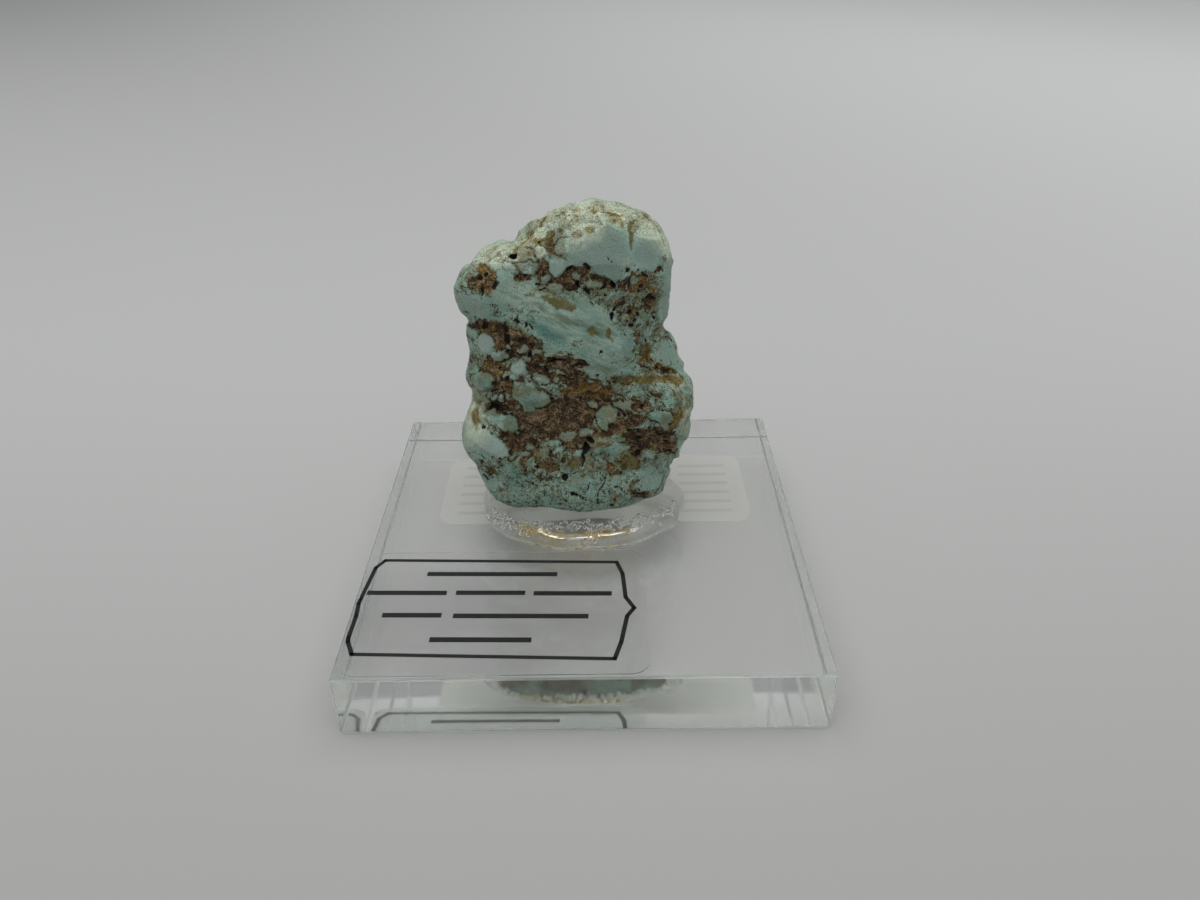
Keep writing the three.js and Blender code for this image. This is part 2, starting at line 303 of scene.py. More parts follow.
# Black pits and hollows: across, up, half width, half height, turn and depth in mm
PITS = (
    (-9.15, 46.1, 0.62, 0.6, 0, 1.5), (-13.6, 42.9, 0.5, 0.35, 0, 0.35), (-13.3, 41, 0.3, 0.6, 0, 0.4),
    (-11.7, 41.7, 0.4, 0.5, 0, 0.35), (-12.8, 43.5, 0.3, 0.3, 0, 0.3), (-8.6, 43.2, 0.22, 0.2, 0, 0.3),
    (-7.2, 43, 0.3, 0.2, 0, 0.3), (-5.8, 41.9, 0.4, 0.18, 0, 0.4), (-5.1, 41.1, 0.5, 0.2, 10, 0.5),
    (-1.5, 43.5, 0.35, 0.28, 0, 0.5), (0.9, 43.8, 0.4, 0.5, 0, 0.5), (-0.3, 41.7, 0.3, 0.6, 0, 0.6),
    (0.7, 40.8, 0.6, 0.2, -40, 0.4), (6, 43.3, 0.25, 0.5, 15, 0.6), (4.2, 41.4, 0.5, 0.3, -35, 0.6),
    (3.1, 41.3, 0.4, 0.15, 5, 0.4), (3.1, 40.5, 0.3, 0.15, 0, 0.3), (7.7, 42.9, 0.25, 0.18, 0, 0.3),
    (8.5, 42.8, 0.25, 0.18, 0, 0.3), (8.1, 41.3, 0.45, 0.25, 0, 0.3), (7.6, 40.8, 0.35, 0.15, 20, 0.3),
    (9.3, 40.1, 0.8, 0.25, 5, 0.35), (6.4, 41.8, 0.2, 0.4, -20, 0.3), (5.1, 38.9, 0.2, 0.25, 0, 0.4),
    (4.5, 38.2, 0.25, 0.4, -35, 0.5), (4.1, 37.5, 0.25, 0.3, -20, 0.5), (6.3, 38.1, 0.4, 0.22, 0, 0.4),
    (7.5, 38, 0.2, 0.3, 0, 0.4), (7.3, 37.1, 0.25, 0.25, 0, 0.3), (6.9, 36.7, 0.25, 0.2, 0, 0.3),
    (6.2, 37.1, 0.2, 0.2, 0, 0.3), (8.7, 36.6, 0.15, 0.13, 0, 0.4), (10.1, 37.8, 0.3, 0.22, 0, 0.25),
    (10.9, 39, 0.18, 0.13, 0, 0.3), (7.3, 34.5, 0.25, 0.1, -40, 0.2), (7.2, 33.3, 0.13, 0.11, 0, 0.3),
    (7.6, 32.7, 0.2, 0.15, 0, 0.3), (8.7, 34.8, 0.2, 0.13, 10, 0.3), (9.9, 32.3, 0.15, 0.11, 0, 0.3),
    (11.2, 32.2, 0.15, 0.12, 0, 0.2), (10.3, 31, 0.35, 0.14, 0, 0.3), (12.2, 30.7, 0.9, 0.14, -8, 0.25),
    (-10.4, 34.7, 0.55, 0.75, 0, 0.5), (-10.5, 35.8, 0.3, 0.35, 0, 0.4), (-13.3, 36.6, 0.4, 0.3, 0, 0.4),
    (-8.9, 37, 0.55, 0.2, 5, 0.4), (-7.7, 36.6, 0.28, 0.2, -20, 0.4), (-6.9, 36.4, 0.35, 0.18, -40, 0.3),
    (-8.5, 34.6, 0.3, 0.3, 0, 0.4), (-7.6, 34.7, 0.45, 0.14, -30, 0.4), (-7, 33.8, 0.2, 0.5, 0, 0.4),
    (-8.6, 33, 0.5, 0.14, -25, 0.4), (-7.2, 32.8, 0.3, 0.3, 0, 0.4), (-15.4, 35.3, 0.13, 0.4, 0, 0.7),
    (-3.4, 31.7, 1.3, 0.2, -3, 0.5), (-0.8, 31.3, 1, 0.18, 0, 0.5), (-5, 30.9, 0.3, 0.4, 0, 0.4),
    (-4.7, 32.3, 0.3, 0.2, 0, 0.3), (-2.7, 29.7, 0.7, 0.1, -12, 0.4), (-1.6, 29.3, 0.5, 0.12, -5, 0.4),
    (-2.6, 28.8, 0.4, 0.1, 0, 0.3), (-11.8, 31.2, 0.4, 0.2, 0, 0.3), (-10.4, 29.6, 0.3, 0.3, 0, 0.4),
    (-12.5, 28.1, 0.5, 0.14, 5, 0.4), (-11.4, 27.8, 0.4, 0.14, 0, 0.4), (-13, 25.8, 1.2, 0.3, 0, 0.5),
    (-14.8, 23, 0.35, 0.25, 0, 0.5), (-12.3, 18.6, 0.7, 0.14, 5, 0.4), (-13, 17, 0.2, 0.12, -20, 0.3),
    (0.9, 20.8, 0.7, 0.4, 0, 0.9), (0.2, 19.5, 0.5, 0.8, -10, 0.9), (-0.1, 18.4, 0.4, 0.5, 0, 0.7),
    (-0.3, 17.3, 0.15, 0.5, 0, 0.4), (7.7, 20.9, 0.5, 0.4, 0, 0.6), (6.5, 22.4, 0.6, 0.16, 8, 0.4),
    (10.8, 21.6, 0.9, 0.16, 0, 0.4), (7.7, 19, 0.35, 0.4, 0, 0.5), (12.4, 20.4, 0.9, 0.18, -15, 0.4),
    (12.3, 19.1, 0.6, 0.25, 0, 0.4), (-2.9, 15.8, 0.45, 0.6, 0, 0.7), (-7.1, 17.2, 0.5, 0.2, -20, 0.4),
    (-5.4, 16.2, 0.2, 0.2, 0, 0.3), (-6.7, 15.1, 0.18, 0.28, 0, 0.4), (-7.8, 14.9, 0.25, 0.4, 0, 0.3),
    (-10.7, 12.8, 0.1, 0.5, 0, 0.3), (-8.4, 12.8, 0.1, 0.4, 10, 0.25), (-6.2, 13.1, 0.1, 0.6, 0, 0.3),
    (-10.6, 11.7, 0.13, 0.1, 0, 0.3), (-5.3, 11.5, 0.13, 0.1, 0, 0.3), (-3, 11.9, 0.4, 0.13, -35, 0.4),
    (-1.6, 12.9, 0.7, 0.28, -40, 0.5), (-0.4, 12.4, 0.7, 0.13, -35, 0.4), (-5.6, 10.5, 0.6, 0.18, -5, 0.4),
    (-1.5, 10.5, 0.4, 0.2, 0, 0.4), (-0.7, 10.4, 0.7, 0.2, 0, 0.4), (1.9, 10.6, 0.4, 0.18, 20, 0.4),
    (4, 11.3, 0.3, 0.3, -30, 0.4), (9.3, 11.7, 0.13, 0.2, 0, 0.4), (7.9, 12.9, 1.2, 0.25, -5, 0.4),
    (-15.9, 38.6, 0.25, 0.3, -40, 0.4), (-14.8, 38, 0.3, 0.15, 0, 0.3), (15.5, 24, 0.2, 0.4, 0, 0.3),
    (8, 25.7, 0.4, 0.3, 0, 0.4), (6.1, 24.8, 0.6, 0.18, 0, 0.4), (2.4, 33, 0.2, 0.2, 0, 0.3),
    (2.1, 30, 0.2, 0.16, 0, 0.3), (-6.9, 48.8, 0.16, 0.16, 0, 0.3), (-5.2, 47.2, 0.2, 0.16, 0, 0.3),
)

# Cracks and veins: width in mm, depth in mm, how rusty, and their points across and up
CRACKS = (
    (0.16, 0.25, 0.1, (5.95, 43), (5.95, 44), (6.3, 44.5), (7, 44.9), (7.6, 45)),
    (0.1, 0.15, 0.1, (3.6, 44.9), (3.9, 44.3), (4.4, 43.8), (5, 43.3), (5.8, 43.3)),
    (0.4, 0.15, 0.8, (6.8, 49.3), (6.7, 48), (6.85, 46.8), (6.85, 45.9)),
    (0.14, 0.15, 0.4, (6.85, 45.9), (6.85, 45.1)),
    (0.2, 0.25, 0.05, (2.5, 42.5), (3.2, 42.2), (4, 41.6), (4.6, 41.1), (5.6, 41.15), (5.9, 41.8)),
    (0.13, 0.15, 0.2, (-15.3, 37.6), (-14, 37.5), (-13, 37.2), (-12.2, 37.2)),
    (0.13, 0.15, 0.2, (-13, 36.8), (-11.6, 36.7), (-10.4, 36.5), (-9.3, 36.2), (-8.2, 35.8)),
    (0.14, 0.15, 0.3, (-9.8, 38.9), (-9.2, 38.6), (-8.5, 38.4), (-8, 37.8)),
    (0.12, 0.12, 0.4, (-9.8, 41.9), (-9, 41.5), (-8, 41.2)),
    (0.28, 0.3, 0.4, (-15.1, 23.4), (-13.9, 22.6), (-12.8, 21.8), (-11.7, 20.9), (-11, 20.4)),
    (0.14, 0.15, 0.2, (-13.3, 28.8), (-12.7, 29), (-12.1, 29.4)),
    (0.12, 0.12, 0.3, (3.4, 38.9), (4, 37.4), (4.8, 36), (5.3, 34.9), (5.7, 34)),
    (0.16, 0.2, 0.1, (3, 16.4), (2.7, 15.2), (2.4, 14), (2.1, 13), (1.9, 11.6)),
    (0.12, 0.15, 0.1, (3.6, 15), (3.6, 14), (3.7, 13.2)),
    (0.14, 0.15, 0.1, (0.6, 15.2), (0.7, 14.2), (0.2, 13.2), (0.1, 12.2)),
    (0.13, 0.2, 0, (4.8, 14.1), (5.8, 13.5), (6.9, 12.9)),
    (0.1, 0.1, 0, (3.4, 13.2), (4, 12.9), (4.9, 12.5)),
    (0.09, 0.1, 0, (4.2, 13.9), (4.8, 13.2), (5.6, 12.3)),
    (0.14, 0.2, 0, (10, 13.3), (10.5, 13.7), (11.1, 14.4)),
    (0.16, 0.2, 0.2, (9.3, 12.6), (10.2, 12.8), (11, 13.2), (11.8, 14.2)),
    (0.14, 0.15, 0.1, (-4.9, 17.6), (-4.2, 18.6), (-3.2, 19), (-2.3, 19.2)),
    (0.2, 0.1, 1, (1.6, 51), (2.6, 51), (3.1, 50.9), (4.1, 50.6), (4.8, 50.3), (5.6, 50.5)),
    (0.28, 0.1, 1, (8.6, 50.8), (10.1, 49.3), (11, 48), (11.7, 46.8)),
    (0.2, 0.2, 0.15, (11.4, 45.3), (11.4, 44.3), (10.9, 43.4)),
    (0.1, 0.1, 0.2, (10.6, 17.2), (10.4, 16.4), (9.7, 15.6)),
    (0.1, 0.1, 0.2, (12, 17.4), (11.2, 16.6), (10.4, 16.4)),
    (0.1, 0.1, 0.3, (-15.8, 19.2), (-14.4, 18.4), (-13.2, 18.6)),
)

# Stains: across, up, half width, half height, turn, strength
RUST = (
    (1.9, 51.2, 0.6, 0.5, 20, 0.8), (4.3, 50.6, 0.7, 0.35, -15, 1), (5.6, 49.2, 0.28, 0.6, 0, 0.9),
    (5.7, 48.6, 0.25, 0.35, 0, 0.6), (4.6, 49.9, 1.6, 0.4, -15, 0.5), (-0.4, 51.3, 0.6, 0.3, 0, 0.6),
    (-0.5, 50.4, 0.5, 0.4, 0, 0.7), (-0.9, 49.8, 0.35, 0.3, 0, 0.6), (-2.5, 48.5, 0.5, 0.4, 0, 0.6),
    (1.4, 48.3, 0.8, 0.4, 10, 0.7), (-0.3, 47.6, 0.9, 0.4, 10, 0.6), (4.9, 51.3, 0.25, 0.2, 0, 0.5),
    (7.1, 49.4, 0.2, 0.18, 0, 0.8), (8.7, 50.8, 0.5, 0.3, -20, 0.8), (-6.9, 48.6, 1.3, 0.9, 20, 0.7),
    (-7.9, 47.6, 1.3, 0.7, 10, 0.8), (-5.3, 47.3, 0.9, 0.6, 0, 0.8), (-4, 47.6, 0.7, 1.4, 0, 0.7),
    (-4, 46, 0.6, 0.9, 0, 0.6), (-9, 47.3, 0.5, 0.8, 20, 0.8), (-7.2, 45.6, 1.7, 0.45, 8, 0.5),
    (-6.8, 40.5, 0.8, 0.35, -5, 0.6), (-3.2, 39.3, 2.2, 0.8, -16, 1), (-1.8, 38.8, 1.2, 0.6, -20, 1),
    (-2.4, 40, 2, 0.35, -10, 0.6), (-6.2, 38.1, 0.65, 0.25, -8, 0.7), (-3.2, 37.5, 0.3, 0.25, 0, 0.5),
    (-8.1, 39.5, 0.35, 0.2, 0, 0.6), (-9.6, 37.4, 0.4, 0.3, 0, 0.7), (1.55, 35.4, 0.75, 0.8, 0, 1),
    (3.75, 35.4, 0.45, 0.9, 10, 0.9), (4.3, 34.5, 0.4, 0.7, 15, 0.5), (-3.2, 32.8, 0.7, 0.2, -15, 0.8),
    (9.5, 29.4, 6.2, 0.8, 0, 0.9), (8.9, 33.4, 1.2, 1.4, 0, 0.9), (9.2, 32.2, 1.2, 0.4, 0, 0.9),
    (11.6, 31.2, 1.6, 0.4, -5, 1), (10.9, 29.4, 0.5, 0.3, 0, 0.4), (-15.8, 24.6, 0.8, 1.7, 0, 0.9),
    (-15.9, 27.2, 0.6, 1.2, 0, 0.6), (-16.9, 19.4, 0.8, 0.2, -25, 0.8), (-12.6, 13.7, 1.2, 0.5, -5, 0.7),
    (-15.9, 16.8, 0.7, 0.2, -10, 0.7), (2.5, 20.2, 1.6, 0.6, 0, 0.6), (6.7, 17.6, 2.3, 1.2, 0, 0.95),
    (6, 18.9, 1.4, 0.7, 0, 0.6), (-1.8, 17.7, 1.7, 0.9, 30, 0.7), (-4.6, 17.4, 1.4, 0.9, 0, 0.7),
    (3.3, 26.4, 1.1, 0.45, 0, 0.9), (1.5, 28, 3.2, 0.5, 0, 0.7), (14.9, 26.3, 0.8, 1.2, 0, 0.7),
    (13.2, 23.2, 0.8, 1.2, -20, 0.8), (11.2, 13.6, 1.4, 0.4, 45, 0.8), (-5, 10.6, 0.5, 0.25, 0, 0.6),
    (-9, 28.4, 0.2, 0.5, 0, 0.7), (-11.6, 35.3, 0.9, 0.6, 0, 0.7), (-9.2, 32.9, 1.2, 0.5, 0, 0.8),
    (-14.6, 33, 1.2, 1, 0, 0.6), (10.4, 18.4, 0.5, 0.5, 0, 0.8), (12.4, 17.6, 0.35, 1.6, 0, 0.7),
    (-13, 41.6, 2.2, 1.6, 0, 0.5), (9.3, 42.6, 1.8, 0.8, 0, 0.6), (7, 40.6, 1.4, 1, 0, 0.5),
    (2.8, 32.5, 0.4, 0.4, 0, 0.5), (4.2, 32.6, 0.4, 0.4, 0, 0.5), (4.3, 31.5, 0.4, 0.4, 0, 0.5),
    (6.8, 47.6, 0.35, 1.9, 0, 0.9),
)
# Deeper blue-green: across, up, half width, half height, turn, strength
DEEP = (
    (-4.7, 35.7, 2.8, 0.65, -32, 1), (-3.7, 35, 1.5, 0.65, -20, 0.9), (-6.3, 36.7, 0.8, 0.4, -35, 0.8),
    (-5.6, 34.4, 1, 0.16, -25, 0.9), (-5.5, 33.8, 0.6, 0.14, -25, 0.8), (0.2, 39.1, 1.2, 1, 0, 0.35),
    (-11.3, 38.4, 1.8, 1.2, 0, 0.35), (2.8, 19.2, 1.7, 0.9, 0, 0.8), (3.6, 19, 0.9, 0.5, 0, 0.7),
    (1.4, 18.1, 0.7, 0.6, 0, 0.6), (-10.2, 15.7, 1.7, 1.9, 0, 0.6), (13.4, 25.8, 0.8, 0.7, 0, 0.8),
    (8.9, 26.9, 1.6, 0.8, 0, 0.5), (11.4, 26.4, 2.4, 1, 0, 0.4), (10.8, 24.2, 1.5, 0.8, 0, 0.7),
    (-13.6, 29.8, 1.4, 0.9, 0, 0.6), (-7.5, 26.6, 1.4, 0.8, 0, 0.5), (-2, 16.6, 0.8, 0.7, 0, 0.6),
    (-6, 11.3, 9, 1.2, 0, 0.35), (5.5, 12.4, 2.4, 1, -15, 0.45), (6.3, 33.8, 0.6, 1.3, 0, 0.3),
    (-11.6, 23.6, 1.4, 0.8, -15, 0.3), (1.6, 35.4, 1.4, 1.4, 0, 0.35),
)
# Smooth chalky skin, whose colour is darkened as painted shade where the crown's facets face down: across,
# up, half width, half height, turn, strength
CHALK_AND_SHADE = (
    (3.2, 46.3, 3.6, 2, 0, 1), (4.6, 43.2, 1.3, 2.2, 15, 1), (8.7, 45.3, 2, 2.1, 0, 1),
    (0.4, 45, 2.4, 1.3, 10, 0.9), (2.4, 43.9, 1.6, 1.2, 0, 0.9), (-2.9, 43.7, 1.3, 1.2, 0, 0.9),
    (-14.1, 20.6, 2.6, 1.9, -15, 0.8), (-14.6, 39.5, 3, 1.6, 0, 0.5), (-13.4, 34.5, 1.2, 1.3, 0, 1),
    (-1, 37.6, 6.5, 2.2, -18, 0.4), (2.8, 31.8, 3.6, 2, -10, 0.6), (-10.2, 41.4, 3.2, 2.6, -20, 0.5),
    (-8.8, 31.4, 1.3, 1.2, 0, 0.9), (12, 33.3, 1.8, 1.5, 0, 0.7), (11.7, 41, 0.9, 4, 0, 0.6),
    (9.8, 15.2, 1.6, 1.5, 0, 0.5), (-16.8, 22, 1, 1.8, 0, 0.6), (6.3, 33.8, 0.8, 1.5, 0, 0.7),
)
# Smooth streaked turquoise: across, up, half width, half height, turn, strength
STREAKS = (
    (-1, 37.4, 7.5, 2.8, -20, 1), (3, 35, 4, 2.6, -20, 0.8), (2.4, 32, 4, 2.4, -10, 0.7),
    (-9, 40, 3.6, 2.4, -25, 0.6), (1.5, 40.5, 4, 1.2, -18, 0.6),
)
# Yellow-green bloom on the crown and along the left edge, made paler there as painted light
BLOOM_AND_LIGHT = (
    (-1, 51.2, 8, 2.4, 0, 1), (-6.5, 48.2, 3.4, 2.2, 20, 1), (4, 50.8, 5, 1.8, 0, 1),
    (9.5, 49.4, 3, 2.2, -30, 1), (-5.4, 45.9, 0.9, 1, 0, 0.9), (-7.6, 45.7, 2.2, 0.7, 5, 1),
    (-12, 46.5, 4.2, 2.2, 10, 0.9), (-16, 25, 2, 3.4, 0, 1), (0.4, 48, 2.6, 1.4, 20, 0.9),
    (11.7, 46.8, 0.8, 1.6, 0, 0.9), (2.2, 20.6, 2, 1, 0, 0.6), (12.5, 29.2, 4, 1, 0, 0.5),
    (14.4, 24, 1.6, 2.4, 0, 0.5),
)

# Lobes and notches: across, up, half width, half height, turn, and how far out in mm
SWELLS = (
    (-9.1, 47.4, 1.4, 2, 0, -0.9), (-7.6, 48.8, 2.2, 2.2, 0, -0.9), (-9.7, 49.4, 1.5, 1.8, 0, -1),
    (-15.2, 46.2, 1, 1.2, 0, -1), (-5.4, 52, 1.4, 1.5, 0, -0.6), (-0.5, 53.8, 2.2, 1.5, 0, -0.5),
    (-11.8, 46.6, 2, 1.3, 10, 0.3), (-15, 44.6, 0.9, 0.7, 40, -0.6), (11.6, 41.6, 1.2, 2, 0, 0.4),
    (-16.4, 41.6, 1.5, 2.2, 0, 0.4), (-15.8, 38, 1.4, 0.9, -25, -0.7), (-15.6, 35.2, 1, 0.8, 0, -0.3),
    (-16.4, 30.2, 1.2, 2.6, 0, 0.4), (-15.4, 26.8, 1.6, 0.8, 20, -0.9), (-16.6, 23.2, 1, 0.6, 30, -0.4),
    (-17.2, 20.6, 1.6, 2.2, 0, 0.4), (12.2, 37.4, 1.2, 1.4, 0, -0.5), (15, 29.8, 1.6, 1.4, 0, 0.4),
    (14.6, 20.8, 1.2, 0.7, 0, -0.7), (13.6, 18.8, 1.2, 1, 0, 0.7), (13.4, 16.8, 1, 0.5, 0, -0.4),
    (10.6, 12.2, 3.4, 2.6, 0, 2), (14.2, 32, 1.2, 1.2, 0, 0.5), (-4, 46.6, 0.9, 2, -10, -0.5),
    (6.9, 46.8, 0.5, 2.2, 0, -0.35), (3.2, 41.9, 3.4, 0.7, -30, -0.5), (-6.4, 46.4, 2.4, 0.9, 15, 0.4),
    (0, 48.4, 2.6, 1.3, 20, 0.35), (0.4, 20.6, 0.8, 2.6, -10, -0.8), (5.2, 27.8, 4.6, 1, 5, 0.35),
    (-6, 10.6, 5, 1.8, 0, 0.8), (0.5, 10.6, 5, 1.5, 0, 0.6), (9.6, 28.9, 5, 0.9, 0, 0.45),
    (10, 26.9, 4.4, 0.5, 0, -0.25), (-14, 29.4, 2.2, 1.6, 0, 0.3),
)

# Flat broken faces on the crown: a point on each, how it leans, and its corners
FACETS = (
    ((3.4, 46), (0, -0.93, 0.37), ((-1.7, 45), (-0.9, 43.7), (0.8, 43.7), (1.4, 43), (4.4, 42.8),
                                        (5.8, 43.4), (6.1, 46.2), (5.7, 48.2), (3.8, 49.3), (2.7, 48.7))),
    ((8.8, 45.4), (0.36, -0.86, 0.36), ((6.4, 44), (8.2, 43.2), (10.3, 43.5), (10.6, 45.6), (10, 47.4),
                                        (7.5, 47.6), (6.9, 46))),
)


# ---------------------------------------------------------------- mesh helpers

def smoothstep(low, high, x):
    t = np.clip((x - low) / (high - low), 0, 1)
    return t * t * (3 - 2 * t)


def sample(points, grain, octaves=3, shift=0.0):
    """Fractal noise, about -1 to 1, with lumps of about grain mm, at each point."""
    scaled = points / grain + shift
    return np.array([noise.fractal(Vector(p), 0.9, 2.1, octaves) for p in scaled.tolist()])


def wander(points, grain, shift=0.0):
    """A smooth random offset at each point."""
    scaled = points / grain + shift
    return np.array([noise.noise_vector(Vector(p)) for p in scaled.tolist()])


# What turns a cell's middle into a number with no pattern in it
CHANCE_MIX, CHANCE_SPREAD = (127.1, 311.7, 74.7), 4375.5


def cobbles(points, grain, stretch, shift):
    """Random cells about grain mm across: how far off the wall is, as a share, and a chance for each."""
    walls, middles = [], []
    for p in (points * stretch / grain + shift).tolist():
        near, centres = noise.voronoi(Vector(p))
        walls.append(near[1] - near[0])
        middles.append(centres[0][:])
    chance = np.sin(np.array(middles) @ np.array(CHANCE_MIX)) * CHANCE_SPREAD
    return np.array(walls), chance - np.floor(chance)


def bm_of(node):
    bm = bmesh.new()
    bm.from_mesh(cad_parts[node].data)
    return bm


def rounded(bm, times):
    for _ in range(times):
        bmesh.ops.smooth_vert(bm, verts=bm.verts, factor=0.5, use_axis_x=True, use_axis_y=True,
                              use_axis_z=True)


def sort_by_place(bm):
    """Merging leaves points and faces in no fixed order, so they are put in one."""
    slant = Vector((1.0, 37.0, 1370.0))
    bm.verts.sort(key=lambda v: v.co.dot(slant))
    bm.edges.sort(key=lambda e: (e.verts[0].co + e.verts[1].co).dot(slant))
    bm.faces.sort(key=lambda f: f.calc_center_median().dot(slant))


def new_object(name, bm, material):
    mesh = bpy.data.meshes.new(name)
    bm.to_mesh(mesh)
    bm.free()
    mesh.materials.append(material)
    made = bpy.data.objects.new(name, mesh)
    bpy.context.scene.collection.objects.link(made)
    return made


def smooth_shading(piece):
    piece.data.polygons.foreach_set("use_smooth", [True] * len(piece.data.polygons))


def bind(piece, node):
    """A finished piece stands for a CAD node."""
    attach(piece, "root")
    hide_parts(node)


class Face:
    """The stone's front, on which spots are placed by how far across and up it they are."""

    def __init__(self, bm):
        self.tree = BVHTree.FromBMesh(bm)

    def point(self, across, up):
        start = (ACROSS * across + UP * up + OUT * 60) * MM
        hit = self.tree.ray_cast(Vector(start), Vector(-OUT))[0]
        if hit is None:  # just past the outline: take the skin nearest to a place inside the stone
            hit = self.tree.find_nearest(Vector((across, INSIDE, (up - INSIDE * UP[1]) / UP[2])) * MM)[0]
        return np.array(hit) / MM

    def reach(self, points, spot, extra=0.6):
        """How far each point is from a spot's middle: 1 at the spot's rim."""
        across, up, wide, tall, turn = spot[:5]
        c, s = math.cos(math.radians(turn)), math.sin(math.radians(turn))
        d = points - self.point(across, up)
        along, over, out = d @ (c * ACROSS + s * UP), d @ (c * UP - s * ACROSS), d @ OUT
        deep = max(wide, tall) + extra
        return np.sqrt((along / wide) ** 2 + (over / tall) ** 2 + (out / deep) ** 2)

    def painted(self, points, spots, soft=0.5):
        """The strongest spot at each point, each with a soft rim. The strength is a spot's sixth value."""
        amount = np.zeros(len(points))
        for spot in spots:
            q = self.reach(points, spot)
            amount = np.maximum(amount, spot[5] * smoothstep(1 + soft, 1 - soft, q))
        return amount

    def line_gap(self, points, corners):
        """Distance of each point from a line through the corners."""
        best = np.full(len(points), 1e3)
        stops = [self.point(*c) for c in corners]
        for a, b in zip(stops, stops[1:]):
            leg = b - a
            t = np.clip((points - a) @ leg / (leg @ leg), 0, 1)
            best = np.minimum(best, np.linalg.norm(points - a - t[:, None] * leg, axis=1))
        return best


def polygon_depth(points, corners):
    """How far inside a convex outline on the face each point is, in mm."""
    flat = np.stack([points @ ACROSS, points @ UP], axis=1)
    middle = np.mean(corners, axis=0)
    depth = np.full(len(points), 1e3)
    for a, b in zip(corners, corners[1:] + corners[:1]):
        a, b = np.array(a), np.array(b)
        side = np.array((a[1] - b[1], b[0] - a[0])) / np.linalg.norm(b - a)
        if (middle - a) @ side < 0:
            side = -side
        depth = np.minimum(depth, (flat - a) @ side)
    return depth


# ---------------------------------------------------------------- the stone

def stone_base():
    """The CAD stone's skin, merged, rounded and cut fine."""
    bm = bm_of("nugget")
    bmesh.ops.remove_doubles(bm, verts=bm.verts, dist=0.001 * MM)
    rounded(bm, 1)
    bm.normal_update()
    front, behind = [], []
    for edge in bm.edges:
        seen = any(Vector(OUT).dot(f.normal) > -0.05 for f in edge.link_faces)
        (front if seen else behind).append(edge)
    for edges, cuts in ((front, 5), (behind, 3)):
        bmesh.ops.subdivide_edges(bm, edges=edges, cuts=cuts, use_grid_fill=True)
    bmesh.ops.triangulate(bm, faces=bm.faces)
    rounded(bm, 6)
    bm.normal_update()
    return bm


def earth_field(face, points, front, medium):
    """How earthy the skin is, and how rusty: below 0 it is whole turquoise, at 1 it is all matrix."""
    field, rusty = np.full(len(points), -1.0), np.full(len(points), 0.15)
    for spot in WEBS:
        q = face.reach(points, spot)
        field = np.maximum(field, spot[5] - 0.24 - 0.8 * np.clip(q - 0.6, 0, 9) ** 2)
    for spot in EARTH:
        q = face.reach(points, spot)
        near = 1.15 * spot[5] - max(spot[5], 0.32) * q ** 2
        rusty = np.where(near > np.maximum(field, -0.12), spot[6] + 0.25 * medium, rusty)
        field = np.maximum(field, near)
    broad = sample(points * (1, 1, 1.5), 6.0, 2, 4.0)
    behind = 1.2 * broad - 0.08 + 0.75 * sample(points * (1, 1, 1.7), 2.2, 2, 13.0)
    behind_rust = 0.5 + 0.7 * sample(points, 4.0, 2, 21.0)
    return front * field + (1 - front) * behind, front * rusty + (1 - front) * behind_rust


def fragments(points, field, medium, patchy, fine):
    """Turquoise broken into fragments: how whole it is, how far each bulges, and a chance for each."""
    whole, pillow, chance = np.ones(len(points)), np.zeros(len(points)), 0.5
    coarse_cells = (2.6, 0.0, 0.5, 0.10, medium, 3.0)
    fine_cells = (1.0, -0.24, 0.9, 0.06, patchy, 6.0)
    for grain, ease, swing, bulge, patches, shift in (coarse_cells, fine_cells):
        wall, luck = cobbles(points, grain, (1, 1, 1.25), shift)
        gap = ease + swing * (field + 0.45 * patches + 0.2 * fine + 0.4 * (luck - 0.5))
        whole = whole * smoothstep(gap - 0.06, gap + 0.3 / grain, wall)
        pillow = pillow + bulge * np.sqrt(np.clip((wall - gap) * 1.6, 0, 1))
        chance = 0.5 * chance + 0.5 * luck
    return whole, pillow * smoothstep(-0.9, -0.2, field), chance


def raised_nodules(face, points):
    """The listed nodules: how far each is lifted, where it is, how pale, and its rim."""
    lift, nodule, pale, rim = np.zeros((4, len(points)))
    for spot in NODULES:
        q = face.reach(points, spot)
        small_side = min(spot[2], spot[3])
        inside = smoothstep(1 + 0.10 / small_side, 1 - 0.10 / small_side, q)
        dome = np.sqrt(np.clip(1 - np.clip(q, 0, 1) ** 7, 0, 1))
        lift = np.maximum(lift, (0.55 * spot[5] + 0.05) * dome * inside)
        nodule = np.maximum(nodule, inside)
        pale = np.maximum(pale, inside * spot[6])
        rim = np.maximum(rim, smoothstep(1 + 0.30 / small_side, 1 + 0.08 / small_side, q))
    return lift, nodule, pale, rim * (1 - nodule)


def hollows(face, points, rim):
    """Pits, cracks and the grooves round nodules: how dark they are, with painted shade in the grooves, how
    rusty and how deep.
    """
    # painted shade: the grooves round nodules are darkened, over the matrix seam there
    soot_and_shade, sink = 0.48 * rim, 0.16 * rim
    for spot in PITS:
        q = face.reach(points, spot)
        soot_and_shade = np.maximum(soot_and_shade, smoothstep(1.25, 0.75, q))
        sink = np.maximum(sink, spot[5] * smoothstep(1.3, 0.3, q))
    rust = face.painted(points, RUST)
    for width, depth, rusty_line, *corners in CRACKS:
        gape = face.line_gap(points, corners)
        inside = smoothstep(width + 0.06, width * 0.3, gape)
        soot_and_shade = np.maximum(soot_and_shade, inside * (1 - rusty_line))
        rust = np.maximum(rust, inside * rusty_line)
        sink = np.maximum(sink, depth * smoothstep(width, 0, gape))
    return soot_and_shade, rust, sink


